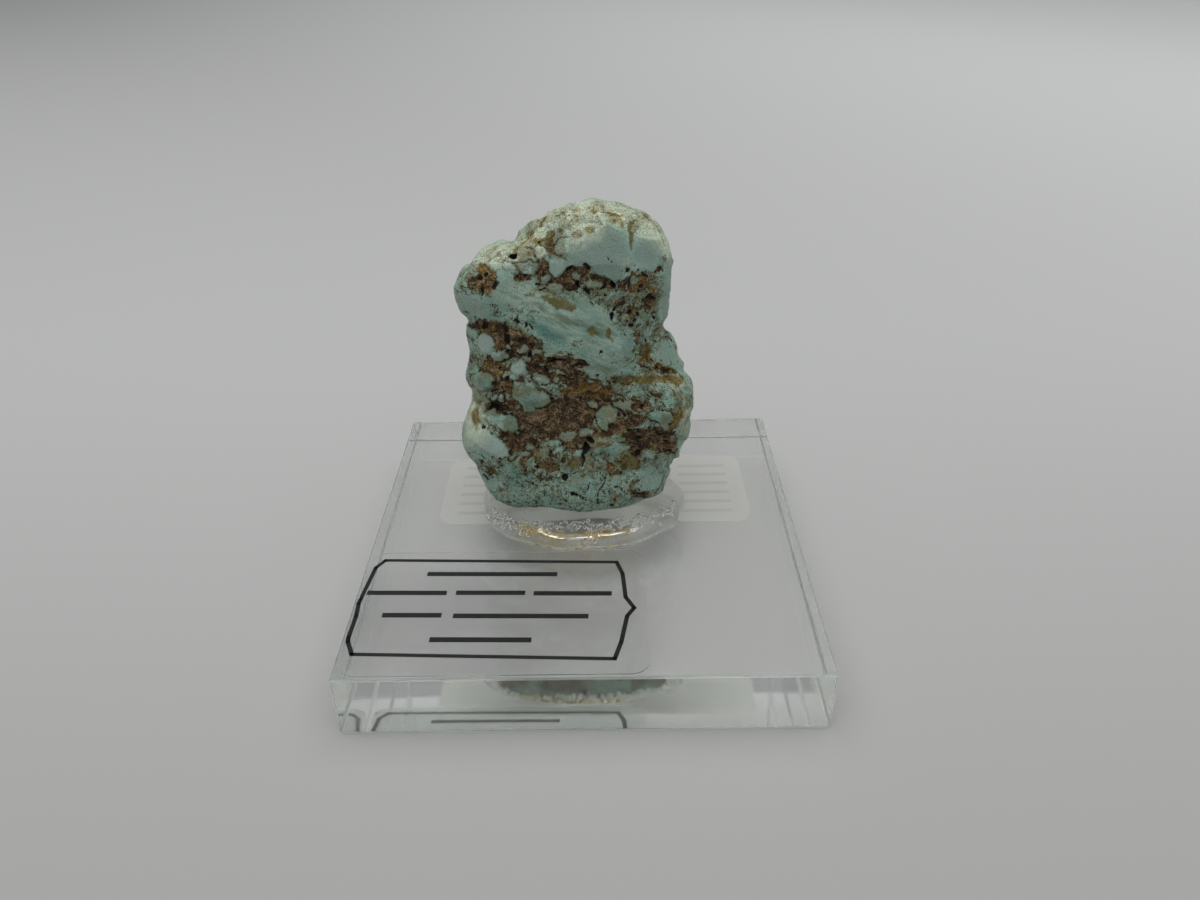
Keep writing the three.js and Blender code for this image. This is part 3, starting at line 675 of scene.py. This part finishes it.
def stone_marks(face, points, normals):
    """Every mask of the stone, and how far its skin is lifted, at each point."""
    front = smoothstep(-0.35, 0.25, normals @ OUT)  # 1 on the front, 0 at the back
    ragged = points + 0.45 * wander(points, 1.5) + 0.22 * wander(points, 0.55, 9.0)
    medium, fine = sample(points, 1.6, 3, 7.0), sample(points, 0.5, 3, 2.0)
    chalk_and_shade = face.painted(ragged, CHALK_AND_SHADE) * front
    streak = face.painted(ragged, STREAKS, 0.6)
    field, rusty = earth_field(face, ragged, front, medium)
    field = field - 0.8 * chalk_and_shade
    whole, pillow, chance = fragments(ragged, field, medium, sample(points, 2.6, 3, 40.0), fine)
    lift, nodule, pale, rim = raised_nodules(face, ragged + 0.16 * wander(points, 0.35, 5.0))
    rim = rim * smoothstep(-0.6, 0.1, field)
    soot_and_shade, rust, sink = hollows(face, ragged, rim)
    earth = np.maximum((1 - whole) * (1 - nodule), 0.85 * rim)
    stain = smoothstep(-0.6, 0.3, field + 0.6 * medium) * (1 - 0.85 * chalk_and_shade)
    web = smoothstep(-0.85, -0.40, field + 0.35 * medium) * (1 - chalk_and_shade) * (1 - 0.85 * streak)
    pale = np.maximum(pale, 0.8 * smoothstep(0.45, 0.8, chance) * (1 - earth) * stain)
    calm = 1 - 0.75 * chalk_and_shade
    height = (lift + np.where(nodule > 0.5, 0, pillow) - 0.28 * earth - sink
              + calm * (0.14 * medium + 0.20 * sample(points, 3.2, 2, 17.0))
              + (0.06 + 0.16 * earth) * fine * calm)
    masks = {
        "earth": earth, "rusty": np.clip(rusty, 0, 1), "soot_and_shade": soot_and_shade, "rust": rust, "stain": stain,
        "web": web * (1 - 0.8 * nodule), "streak": streak, "deep": face.painted(ragged, DEEP, 0.8),
        "chalk_and_shade": chalk_and_shade, "pale": pale, "bloom_and_light": face.painted(ragged, BLOOM_AND_LIGHT, 0.8),
        # painted shade: the deeper the skin is sunk, the darker it is painted
        "hollow": smoothstep(0.0, 0.7, -height), "chance": chance,
    }
    return masks, height


def swell(face, points, normals):
    """Moves the skin out or in where a lobe or a notch is."""
    amount = np.zeros(len(points))
    for spot in SWELLS:
        amount += spot[5] * smoothstep(1.0, 0.0, face.reach(points, spot, 9.0))
    return points + normals * amount[:, None]


def flatten_facets(face, points, normals):
    """Moves the skin onto the crown's flat broken faces."""
    moved = points.copy()
    for (across, up), lean, corners in FACETS:
        lean = np.array(lean) / np.linalg.norm(lean)
        inside = smoothstep(-0.15, 0.25, polygon_depth(points, corners))
        inside = inside * smoothstep(0.15, 0.5, normals @ OUT)
        off = (points - face.point(across, up)) @ lean + 0.15
        moved -= (inside * np.clip(off, -1.2, 1.6))[:, None] * lean
    return moved


class StoneSockets:
    """The stone's masks, and the noises and colours that the parts of its material share."""

    def __init__(self, s, look):
        for name in ("earth", "rusty", "soot_and_shade", "rust", "stain", "web", "streak", "deep", "chalk_and_shade", "pale",
                     "bloom_and_light", "hollow", "chance"):
            setattr(self, name, s.attribute(name))
        self.cloud, self.grain, self.speck = s.noise(2.4, 4), s.noise(0.6, 4, 0.65), s.noise(0.16, 2, 0.6)
        self.blotch, self.gritty = s.noise(1.1, 4, 0.7, 1.0), s.noise(0.2, 3, 0.7).step(0.32, 0.68)
        self.layers = s.noise(0.5, 4, 0.7, 1.2, place=s.stretched((4, 1, 1), -18))
        self.grit = s.noise(0.42, 4, 0.75, 0.5, place=s.stretched((1.8, 1, 1), 18))
        self.crumb = s.cells(0.30, s.bent(0.3, 0.3))
        # golden: ochre made much lighter for the crown, partly painted light
        self.golden = s.dim(look.ochre, 2.9)


def turquoise_colour(s, look, m):
    """Turquoise in all its shades, from chalky skin darkened by painted shade to deep streaks and the crown's
    yellow-green, paled by painted light.
    """
    along = s.noise(0.5, 4, 0.65, place=s.stretched((5, 1, 1), 30))
    bands = s.noise(1.4, 4, 0.6, place=s.stretched((4, 1, 1), 26))
    return s.layered(
        s.mix(m.cloud.step(0.35, 0.65), look.turquoise, look.turquoise_green),
        (m.chance * 0.35, look.pale),
        (m.grain.step(0.5, 0.7) * 0.45, look.pale),
        # painted shade: the chalky skin's colour is darker, for facets that face down
        (m.chalk_and_shade * (0.6 + 0.4 * m.cloud), look.chalk_and_shade),
        (m.pale * (0.6 + 0.4 * m.grain), look.pale),
        # painted light: the crown and the left edge are paled towards the bloom colour
        (m.bloom_and_light * (0.70 + 0.5 * m.grain.step(0.35, 0.65)), look.bloom_and_light),
        (m.streak * along.step(0.5, 0.66) * 0.6, look.pale),
        (m.streak * (1 - along).step(0.5, 0.68) * 0.65, look.deep),
        (m.streak * bands.step(0.50, 0.62) * 0.25, look.pale),
        (m.streak * (1 - bands).step(0.52, 0.64) * 0.5, look.olive),
        (m.deep * (0.3 + 0.9 * along), look.deep),
        (m.bloom_and_light * (1 - m.layers).step(0.52, 0.66) * 0.4, s.mix(m.cloud, look.ochre, look.turquoise)))


def stained_colour(s, look, m, blue):
    """Olive and ochre stains over the turquoise, and its fine grit, which smooth skin has little of."""
    seep = (m.stain * (m.blotch + 0.5 * (m.grain - 0.5))).step(0.06, 0.36)
    spots = (m.rust + 1.3 * (m.grain - 0.5) + 1.2 * (m.speck - 0.5)).step(0.30, 0.80)
    # on the crown the stains take the lighter golden, partly painted light
    ochre = s.mix(m.bloom_and_light, look.ochre, m.golden)
    blue = s.layered(
        blue,
        (seep * (0.52 - 0.25 * m.bloom_and_light), s.mix(m.cloud.step(0.4, 0.6), look.olive, look.ochre)),
        (spots * (0.74 + 0.26 * m.gritty), s.mix(m.blotch.step(0.42, 0.58), ochre, look.olive)))
    return s.mix(m.chalk_and_shade.larger(m.streak) * 0.7, s.dim(blue, 0.66 + 0.62 * m.gritty), blue)


def soil_colour(s, look, m):
    """The earthy matrix: dark soil with rusty, crumbly and near-black parts, golden on the crown and paler
    there as painted light.
    """
    tone = s.noise(1.7, 4, 0.65, 0.8)
    soil = s.layered(
        s.mix(m.grit.step(0.42, 0.60), look.earth_dark, look.earth),
        (m.rusty.step(0.25, 0.85) * m.grain.step(0.3, 0.6) * 0.85, look.rust),
        ((1 - m.crumb).step(0.45, 0.8) * m.blotch.step(0.45, 0.62) * 0.8, look.earth_light),
        (tone.step(0.52, 0.64) * 0.45, look.earth_light),
        ((1 - tone).step(0.50, 0.60) * 0.75, look.soot_and_shade),
        ((1 - m.earth).step(0.3, 0.9), s.mix(0.1, look.earth_dark, look.soot_and_shade)))
    soil = s.dim(soil, 0.35 + (0.8 + 1.1 * m.earth) * m.gritty)
    # painted light: the matrix on the crown is made golden and paler
    return s.mix(m.bloom_and_light * 0.8, soil, s.mix(0.4, m.golden, look.earth_light))


def matrix_edge(s, m):
    """How near the skin is to matrix, which breaks into the turquoise in specks and threads."""
    thread = s.vein(2.4, 0.011).larger(s.vein(1.0, 0.017) * m.cloud.step(0.42, 0.52))
    return (0.86 * m.earth + 0.13 * m.web - 0.16 * m.bloom_and_light + 1.2 * (m.grain - 0.5)
            + 0.9 * (m.speck - 0.5) + 0.7 * thread * m.web.step(0.1, 0.6))


def stone_material(look):
    s = Shader("raw_turquoise")
    m = StoneSockets(s, look)
    edge = matrix_edge(s, m)
    earthy, fringe = edge.step(0.44, 0.54), edge.step(0.25, 0.46)
    # on the crown the matrix fringe takes the lighter golden, partly painted light
    margin = s.mix(m.bloom_and_light, s.mix(m.rusty, s.mix(0.5, look.olive, look.rust), look.rust), m.golden)
    # black pits and cracks, and painted shade in the grooves round nodules
    sooty_and_shaded = (m.soot_and_shade + 0.5 * (m.grain - 0.5) + 0.4 * (m.speck - 0.5)).step(0.35, 0.6)
    skin = s.layered(
        stained_colour(s, look, m, turquoise_colour(s, look, m)),
        (fringe * m.web.larger(m.earth) * (0.72 - 0.35 * m.bloom_and_light), margin),
        (earthy, soil_colour(s, look, m)),
        (sooty_and_shaded, look.soot_and_shade),
        # painted shade: sunk skin darkened towards the crevice colour
        (m.hollow * 0.35, look.soot_and_shade))
    bumps = (m.grain * 0.8 + m.speck * 0.4 - 0.8 * earthy + 1.8 * (m.grit - m.crumb) * earthy
             + m.gritty * 0.25 + m.layers * m.bloom_and_light)
    s.set(base_color=skin, roughness=(0.52 + 0.3 * earthy + 0.15 * (m.speck - 0.5)).clamped(),
          specular_ior_level=0.35, normal=s.bump(bumps, 1.0, 0.22 * MM))
    return s.material


class StoneLook(bpy.types.PropertyGroup):
    seed: bpy.props.IntProperty(name="Seed", description="Picks how the marks' edges wander",
                                default=5, min=1)
    turquoise: colour("Turquoise", "The stone's main colour", (0.285, 0.468, 0.388, 1))
    turquoise_green: colour("Green turquoise", "Its greener clouds", (0.325, 0.440, 0.300, 1))
    deep: colour("Deep blue-green", "Its strongest streaks", (0.055, 0.225, 0.195, 1))
    # the chalky skin's grey-blue is darkened as painted shade, for the crown's facets that face down
    chalk_and_shade: colour("Chalky skin", "Its smooth grey-blue skin", (0.245, 0.345, 0.306, 1))
    pale: colour("Pale nodules", "Its palest nodules", (0.500, 0.640, 0.560, 1))
    # the bloom colour is yellow-green, paled as painted light on the crown and the left edge
    bloom_and_light: colour("Bloom", "The yellow-green of the crown and edges", (0.820, 0.905, 0.680, 1))
    earth: colour("Matrix", "The brown matrix", (0.235, 0.150, 0.062, 1))
    earth_dark: colour("Dark matrix", "The matrix in its depths", (0.055, 0.031, 0.016, 1))
    earth_light: colour("Light matrix", "Fibres and crumbs of the matrix", (0.490, 0.375, 0.230, 1))
    rust: colour("Rust", "Rusty matrix", (0.300, 0.170, 0.022, 1))
    ochre: colour("Ochre stain", "Stains picked out by eye", (0.185, 0.122, 0.010, 1))
    olive: colour("Olive stain", "Stains that seep from the cracks", (0.098, 0.094, 0.010, 1))
    # the crevice colour, also used as painted shade in sunk skin and in the grooves round nodules
    soot_and_shade: colour("Crevices", "Pits and cracks", (0.018, 0.011, 0.008, 1))


class NUGGET_OT_stone(bpy.types.Operator):
    """Makes the turquoise nugget over its CAD solid"""

    bl_idname = "nugget.stone"
    bl_label = "Nugget"

    def execute(self, context):
        noise.seed_set(context.scene.nugget_stone.seed)
        bm = stone_base()
        face = Face(bm)
        stone = new_object("turquoise_nugget", bm, stone_material(context.scene.nugget_stone))
        mesh = stone.data
        count = len(mesh.vertices)
        points, normals = np.zeros(count * 3), np.zeros(count * 3)
        mesh.vertices.foreach_get("co", points)
        mesh.vertex_normals.foreach_get("vector", normals)
        points, normals = points.reshape(-1, 3) / MM, normals.reshape(-1, 3)
        masks, height = stone_marks(face, points, normals)
        placed = flatten_facets(face, swell(face, points, normals), normals) + normals * height[:, None]
        mesh.vertices.foreach_set("co", (placed * MM).ravel())
        for name, values in masks.items():
            mesh.attributes.new(name, "FLOAT", "POINT").data.foreach_set("value", values.astype(np.float32))
        mesh.update()
        smooth_shading(stone)
        bind(stone, "nugget")
        return {"FINISHED"}


# ---------------------------------------------------------------- clear pieces

CLEAR_IOR = 1.49  # of acrylic, and near enough of the adhesive and the film
STICKER_CORNER = 2.5 * MM


def box_between(bm, low, high):
    """A closed box, as a bmesh cube stretched between two corners."""
    bmesh.ops.create_cube(bm, size=1, matrix=Matrix.LocRotScale((low + high) / 2, None, high - low))


def rounded_edges(bm, edges, radius, segments):
    bmesh.ops.bevel(bm, geom=edges, offset=radius, affect="EDGES", segments=segments, profile=0.5,
                    material=-1)


def sticker_plate(low, high):
    """A thin flat plate with round corners, seen from above."""
    bm = bmesh.new()
    box_between(bm, low, high)
    upright = [e for e in bm.edges if abs(e.verts[0].co.z - e.verts[1].co.z) > (high.z - low.z) / 2]
    rounded_edges(bm, upright, STICKER_CORNER, 8)
    return bm


def clear_material(name, tint, density, rough, normal=None, surface=None):
    """A clear material: its thickness takes on the tint, the faster the denser it is."""
    s = Shader(name)
    s.set(base_color=surface(s) if surface else (1, 1, 1, 1), transmission_weight=1.0, ior=CLEAR_IOR,
          roughness=rough)
    if normal:
        s.set(normal=normal(s))
    if density:
        volume = s.node("ShaderNodeVolumeAbsorption", None, {"Color": tint, "Density": density})
        s.tree.links.new(volume.outputs[0], s.tree.nodes["Material Output"].inputs["Volume"])
    return s.material


def saw_marks(s):
    """Faint upright marks, as a saw and polish leave on a cut side."""
    marks = s.noise(1.0, 3, 0.6, place=s.stretched((0.7, 0.7, 8)))
    waves = s.noise(6.0, 2, 0.5, place=s.stretched((1, 1, 3.3)))
    return s.bump(marks * 0.15 + waves, 0.16, 0.12 * MM)


class SlabLook(bpy.types.PropertyGroup):
    edge: length("Polished edge", "Width of the polished edges", 0.3 * MM)
    tint: colour("Tint", "What the acrylic's thickness turns white into", (0.95, 0.98, 0.965, 1))


class NUGGET_OT_slab(bpy.types.Operator):
    """Makes the clear acrylic slab"""

    bl_idname = "nugget.slab"
    bl_label = "Acrylic slab"

    def execute(self, context):
        look = context.scene.nugget_slab
        bm = bmesh.new()
        box_between(bm, SLAB_LOW, SLAB_HIGH)
        rounded_edges(bm, bm.edges[:], look.edge, 3)
        bm.normal_update()
        polished, sawn, scuffed = range(3)
        for side in bm.faces:
            finish = sawn if abs(side.normal.z) < 0.2 else polished
            side.material_index = scuffed if max(map(abs, side.normal)) < 0.98 else finish
        slab = new_object("acrylic_slab_clear", bm, clear_material("clear_acrylic", look.tint, 3.0, 0.0))
        slab.data.materials.append(clear_material("sawn_acrylic", look.tint, 3.0, 0.09, saw_marks))
        slab.data.materials.append(clear_material("scuffed_edge", look.tint, 3.0, 0.35))
        bind(slab, "acrylic_slab")
        return {"FINISHED"}


# Swarms of bubbles round the stone's foot: middle x and y, half width, half depth, turn, share of them
SWARMS = (
    (-12.6, 0.0, 2.4, 1.1, -42, 6), (-9.2, -2.4, 2.6, 0.9, -18, 8), (-5.6, -2.7, 1.6, 0.7, 0, 5),
    (-1.6, -2.6, 2.6, 1.0, 0, 6), (1.0, -3.8, 1.6, 1.1, 0, 6), (-0.2, -6.0, 0.35, 0.6, 0, 1),
    (5.0, -2.2, 2.2, 0.9, 14, 6), (9.0, -0.6, 2.6, 0.8, 24, 6), (12.4, 1.4, 1.4, 0.8, 40, 2),
)


def glue_puddle(bm):
    """A thick drop with a round rim and a flattened front, its flat foot just inside the slab."""
    ball = bmesh.ops.create_uvsphere(bm, u_segments=120, v_segments=40, radius=1)["verts"]
    middle, half = (PAD_LOW + PAD_HIGH) / 2, (PAD_HIGH - PAD_LOW) / 2
    middle.x, half.x = middle.x - 0.5 * MM, half.x + 0.7 * MM
    for v in ball:
        flat = math.hypot(v.co.x, v.co.y)
        angle = math.atan2(v.co.y, v.co.x)
        wavy = 1 + 0.012 * math.sin(7 * angle) + 0.008 * math.sin(11 * angle + 1)
        spread = flat ** 0.48 / max(flat, 1e-6) * wavy
        height = max(v.co.z, 0.0) ** 0.56
        sag = 1 - 0.10 * noise.noise(Vector((2.2 * v.co.x, 2.2 * v.co.y, 0)))
        y = max(v.co.y * spread, -0.985 + 0.02 * math.cos(9 * v.co.x))
        v.co = (middle.x + v.co.x * spread * half.x * 0.985, middle.y + y * half.y * 0.985,
                PAD_LOW.z - CONTACT + height * (PAD_HIGH.z - PAD_LOW.z) * 0.96 * sag)
    bmesh.ops.remove_doubles(bm, verts=bm.verts, dist=0.0005 * MM)
    bmesh.ops.recalc_face_normals(bm, faces=bm.faces)
    sort_by_place(bm)


def glue_bubbles(bm, count):
    """Round hollows in the adhesive: small balls whose faces look inwards."""
    rng = random.Random(7)
    stone = BVHTree.FromBMesh(bm_of("nugget"))
    placed = []
    shares = [swarm[5] for swarm in SWARMS]
    for _ in range(count * 12):  # some tries fall in the stone or in another bubble
        if len(placed) == count:
            break
        x, y, wide, deep, turn = rng.choices(SWARMS, shares)[0][:5]
        along, over = rng.gauss(0, 0.5) * wide, rng.gauss(0, 0.5) * deep
        c, s = math.cos(math.radians(turn)), math.sin(math.radians(turn))
        radius = rng.choice((0.2, 0.28, 0.36, 0.44, 0.5))
        height = rng.uniform(10.2, 11.7 - radius)
        spot = Vector((x + c * along - s * over, y + s * along + c * over, height)) * MM
        if stone.find_nearest(spot)[3] < (radius + 0.25) * MM:
            continue
        if any((spot - other).length < (radius + size + 0.04) * MM for other, size in placed):
            continue
        placed.append((spot, radius))
        bubble = bmesh.ops.create_icosphere(bm, subdivisions=2, radius=radius * MM,
                                            matrix=Matrix.Translation(spot))
        faces = {f for v in bubble["verts"] for f in v.link_faces}
        bmesh.ops.reverse_faces(bm, faces=list(faces))


def warm_gleam(s):
    """A golden gleam across the puddle's front, as light gathers under the stone."""
    corner = s.node("ShaderNodeSeparateXYZ", None, {"Vector": s.bent(3.0, 0.8)})
    x, y = (Wire(s, corner.outputs[axis]) / MM for axis in "XY")
    across, off = ((x + 1.4) / 9.5), (y + 5.0 - 0.028 * x * x).maths("ABSOLUTE")
    gleam = (1 - off.step(0.4, 1.1)) * (1 - (across * across).step(0.6, 1.0)) * s.noise(2.0, 3).step(0.3, 0.5)
    return s.mix(gleam * 0.9, (1, 1, 1, 1), (1.0, 0.72, 0.30, 1))


def flow_lines(s):
    """Faint ripples along the puddle, left as the adhesive set."""
    ripples = s.noise(1.1, 3, 0.5, 0.6, place=s.stretched((6, 1, 1)))
    return s.bump(ripples, 0.14, 0.20 * MM)


class GlueLook(bpy.types.PropertyGroup):
    bubbles: bpy.props.IntProperty(name="Bubbles", description="How many bubbles the adhesive holds",
                                   default=170, min=0)
    tint: colour("Tint", "What the adhesive's thickness turns white into", (0.95, 0.97, 0.94, 1))


class NUGGET_OT_glue(bpy.types.Operator):
    """Makes the puddle of clear adhesive and its bubbles"""

    bl_idname = "nugget.glue"
    bl_label = "Adhesive"

    def execute(self, context):
        look = context.scene.nugget_glue
        bm = bmesh.new()
        glue_puddle(bm)
        glue_bubbles(bm, look.bubbles)
        glue = new_object("clear_adhesive", bm,
                          clear_material("clear_glue", look.tint, 4.0, 0.0, flow_lines, warm_gleam))
        smooth_shading(glue)
        bind(glue, "glue_pad")
        return {"FINISHED"}


# The printed border of the front sticker, x and y of its corners
BORDER = ((-29.1, -8.3), (4.5, -9.3), (5.3, -11.9), (5.6, -16.9), (6.7, -19.1), (5.7, -20.7), (4.8, -25.6),
          (3.9, -28.6), (-29.8, -27.3), (-30.8, -25.0), (-30.9, -24.2), (-30.8, -20.1), (-31.0, -17.6),
          (-30.9, -16.7), (-30.2, -10.0))
# Ruled dashes where the lettering would be: left and right end, and y
RULES = ((-22.2, -4.3, -11.5), (-30.0, -19.5, -15.4), (-17.6, -8.6, -15.6), (-6.8, 3.4, -15.9),
         (-27.0, -19.6, -20.0), (-17.4, 0.2, -20.3), (-19.9, -7.2, -24.8))
# Faint ruled lines on the rear sticker
REAR_RULES = tuple((left, right, y) for y in (9.4, 12.0, 14.6, 17.2, 19.8, 22.4)
                   for left, right in ((-21.0, -13.6), (-11.6, -3.2), (6.4, 14.2), (16.0, 23.6)))


RULE_SLOPE = -0.02  # the dashes run slightly downhill


def stroke(bm, start, end, width, low, high):
    """A printed line from one point to another: a long flat box."""
    a, b = Vector((*start, 0)) * MM, Vector((*end, 0)) * MM
    leg = b - a
    middle = (a + b) / 2 + Vector((0, 0, (low + high) / 2))
    turn = Matrix.Rotation(math.atan2(leg.y, leg.x), 4, "Z").to_quaternion()
    size = Vector((leg.length + width * 0.7, width, high - low))
    bmesh.ops.create_cube(bm, size=1, matrix=Matrix.LocRotScale(middle, turn, size))


def ink_material(name, ink, paler):
    s = Shader(name)
    wear = s.noise(0.35, 4, 0.7)
    s.set(base_color=s.mix(wear.step(0.5, 0.8), ink, paler), roughness=0.45 + 0.2 * wear)
    return s.material


class LabelLook(bpy.types.PropertyGroup):
    line: length("Border line", "Width of the printed border", 0.6 * MM)
    paper: colour("Paper", "The white sticker", (0.88, 0.87, 0.83, 1))
    ink: colour("Ink", "The printed border", (0.014, 0.014, 0.016, 1))
    worn: colour("Worn ink", "Where the print is thin", (0.050, 0.050, 0.052, 1))
    faint: colour("Faint print", "The rear sticker's ruled lines", (0.74, 0.735, 0.705, 1))


class NUGGET_OT_front_label(bpy.types.Operator):
    """Makes the clear sticker, its printed border and its ruled dashes"""

    bl_idname = "nugget.front_label"
    bl_label = "Clear sticker"

    def execute(self, context):
        look = context.scene.nugget_label
        bm = sticker_plate(FILM_LOW - Vector((0, 0, CONTACT)), FILM_HIGH)
        film = new_object("clear_sticker", bm, clear_material("clear_film", (1, 1, 1, 1), 0.0, 0.06))
        bind(film, "front_label")
        bm = bmesh.new()
        low, high = FILM_HIGH.z - 0.03 * MM, FILM_HIGH.z + 0.005 * MM
        for start, end in zip(BORDER, BORDER[1:] + BORDER[:1]):
            stroke(bm, start, end, look.line, low, high)
        for left, right, y in RULES:
            stroke(bm, (left, y), (right, y + RULE_SLOPE * (right - left)), 1.5 * look.line, low, high)
        printed = new_object("printed_border", bm, ink_material("label_ink", look.ink, look.worn))
        bind(printed, "front_label")
        return {"FINISHED"}


class NUGGET_OT_rear_label(bpy.types.Operator):
    """Makes the white sticker under the slab and its faint ruled lines"""

    bl_idname = "nugget.rear_label"
    bl_label = "White sticker"

    def execute(self, context):
        look = context.scene.nugget_label
        s = Shader("label_paper")
        fibre = s.noise(0.3, 4, 0.6)
        s.set(base_color=s.mix(fibre * 0.3, look.paper, (0.75, 0.74, 0.70, 1)), roughness=0.75,
              normal=s.bump(fibre, 0.2, 0.02 * MM))
        bm = sticker_plate(PAPER_LOW, PAPER_HIGH + Vector((0, 0, CONTACT)))
        paper = new_object("white_sticker", bm, s.material)
        bind(paper, "underside_label")
        bm = bmesh.new()
        low, high = PAPER_HIGH.z - 0.01 * MM, PAPER_HIGH.z + 1.3 * CONTACT
        for left, right, y in REAR_RULES:
            stroke(bm, (left, y), (right, y), 0.8 * MM, low, high)
        lines = new_object("faint_lines", bm, ink_material("faint_ink", look.faint, look.paper))
        bind(lines, "underside_label")
        return {"FINISHED"}


# ---------------------------------------------------------------- stage

class StageLook(bpy.types.PropertyGroup):
    floor: colour("Floor", "The plain floor", (0.61, 0.615, 0.605, 1))
    # painted shade: the floor is darker towards the front
    floor_near_shaded: colour("Near floor", "The floor in front, a little darker", (0.43, 0.427, 0.415, 1))
    # painted light: the far floor is lighter, making up for the lamp's light falling off there
    floor_far_lit: colour("Far floor", "The floor far off to the right, a little lighter", (0.90, 0.905, 0.90, 1))
    sky: strength("Sky", "Strength of the even light", 0.26)
    softbox: strength("Softbox", "Power of the light overhead, in watts", 6.0)
    gloss: strength("Gloss card", "Power of the light seen only in gleams, in watts", 2.0)


class NUGGET_OT_stage(bpy.types.Operator):
    """Makes the floor, the lights and the camera"""

    bl_idname = "nugget.stage"
    bl_label = "Stage"

    def execute(self, context):
        look = context.scene.nugget_stage
        s = Shader("floor_grey")
        corner = s.node("ShaderNodeSeparateXYZ", None, {"Vector": s.place})
        right, ahead = (Wire(s, corner.outputs[axis]) for axis in "XY")
        # painted shade: darker towards the front
        shade = s.mix(ahead.step(-0.14, 0.10), look.floor_near_shaded, look.floor)
        # painted light: lighter far off to the right
        shade = s.mix((ahead + 1.2 * right).step(0.1, 0.9), shade, look.floor_far_lit)
        s.set(base_color=shade, roughness=0.8, specular_ior_level=0.2)
        bm = bmesh.new()
        bmesh.ops.create_grid(bm, x_segments=1, y_segments=1, size=4.0)
        floor = new_object("floor", bm, s.material)
        self.lights(context, look)
        self.camera(context)
        context.scene.view_settings.view_transform = "Standard"
        paths = context.scene.cycles
        paths.max_bounces, paths.glossy_bounces, paths.transmission_bounces = 24, 16, 20
        paths.blur_glossy = 0
        return {"FINISHED"}

    def lights(self, context, look):
        world = bpy.data.worlds.new("even_sky")
        world.use_nodes = True
        sky = world.node_tree.nodes["Background"].inputs
        sky["Color"].default_value = (0.97, 0.99, 1.0, 1)
        sky["Strength"].default_value = look.sky
        context.scene.world = world
        softbox = self.lamp(context, "softbox", 1.4, look.softbox, (0.0, -0.08, 0.80))
        softbox.visible_glossy = False
        gloss = self.lamp(context, "gloss_card", 0.4, look.gloss, (-0.05, -0.42, 0.68))
        gloss.visible_diffuse = gloss.visible_transmission = False

    def lamp(self, context, name, size, power, place):
        """A round lamp, size metres across, that faces the stone's middle."""
        data = bpy.data.lights.new(name, "AREA")
        data.shape, data.size, data.energy = "DISK", size, power
        lamp = bpy.data.objects.new(name, data)
        lamp.location = place
        lamp.rotation_euler = (Vector((0, 0, 0.03)) - lamp.location).to_track_quat("-Z", "Y").to_euler()
        context.scene.collection.objects.link(lamp)
        return lamp

    def camera(self, context):
        """The view from in front and above, close and very slightly turned."""
        pitch, yaw, roll = math.radians(32.14), math.radians(-0.2), math.radians(-0.79)
        ahead = Vector((math.sin(yaw) * math.cos(pitch), math.cos(yaw) * math.cos(pitch), -math.sin(pitch)))
        level = Vector((math.cos(yaw), -math.sin(yaw), 0))
        upright = level.cross(ahead)
        right = math.cos(roll) * level + math.sin(roll) * upright
        up = math.cos(roll) * upright - math.sin(roll) * level
        data = bpy.data.cameras.new("camera")
        data.lens, data.sensor_width = 27.73, 36.0
        data.clip_start = 0.005
        eye = bpy.data.objects.new("camera", data)
        eye.matrix_world = Matrix((right, up, -ahead)).transposed().to_4x4()
        eye.location = Vector((2.69, -113.78, 94.52)) * MM
        context.scene.collection.objects.link(eye)
        context.scene.camera = eye


class NUGGET_PT_panel(bpy.types.Panel):
    """Lists the pieces in the order in which they are made"""

    bl_label = "Nugget"
    bl_space_type = "VIEW_3D"
    bl_region_type = "UI"
    bl_category = "Nugget"

    def draw(self, context):
        for operator in OPERATORS:
            self.layout.operator(operator.bl_idname)


LOOKS = {"nugget_stone": StoneLook, "nugget_slab": SlabLook, "nugget_glue": GlueLook,
         "nugget_label": LabelLook, "nugget_stage": StageLook}
OPERATORS = (NUGGET_OT_stage, NUGGET_OT_stone, NUGGET_OT_glue, NUGGET_OT_slab, NUGGET_OT_front_label,
             NUGGET_OT_rear_label)


def register():
    for group in LOOKS.values():
        bpy.utils.register_class(group)
    for operator in OPERATORS:
        bpy.utils.register_class(operator)
    bpy.utils.register_class(NUGGET_PT_panel)
    for name, group in LOOKS.items():
        setattr(bpy.types.Scene, name, bpy.props.PointerProperty(type=group))


def unregister():
    for name in LOOKS:
        delattr(bpy.types.Scene, name)
    for made in (NUGGET_PT_panel, *OPERATORS, *LOOKS.values()):
        bpy.utils.unregister_class(made)


def main():
    """Makes the stage and every piece."""
    register()
    bpy.ops.nugget.stage()
    bpy.ops.nugget.stone()
    bpy.ops.nugget.glue()
    bpy.ops.nugget.slab()
    bpy.ops.nugget.front_label()
    bpy.ops.nugget.rear_label()


if __name__ == "__main__":
    main()
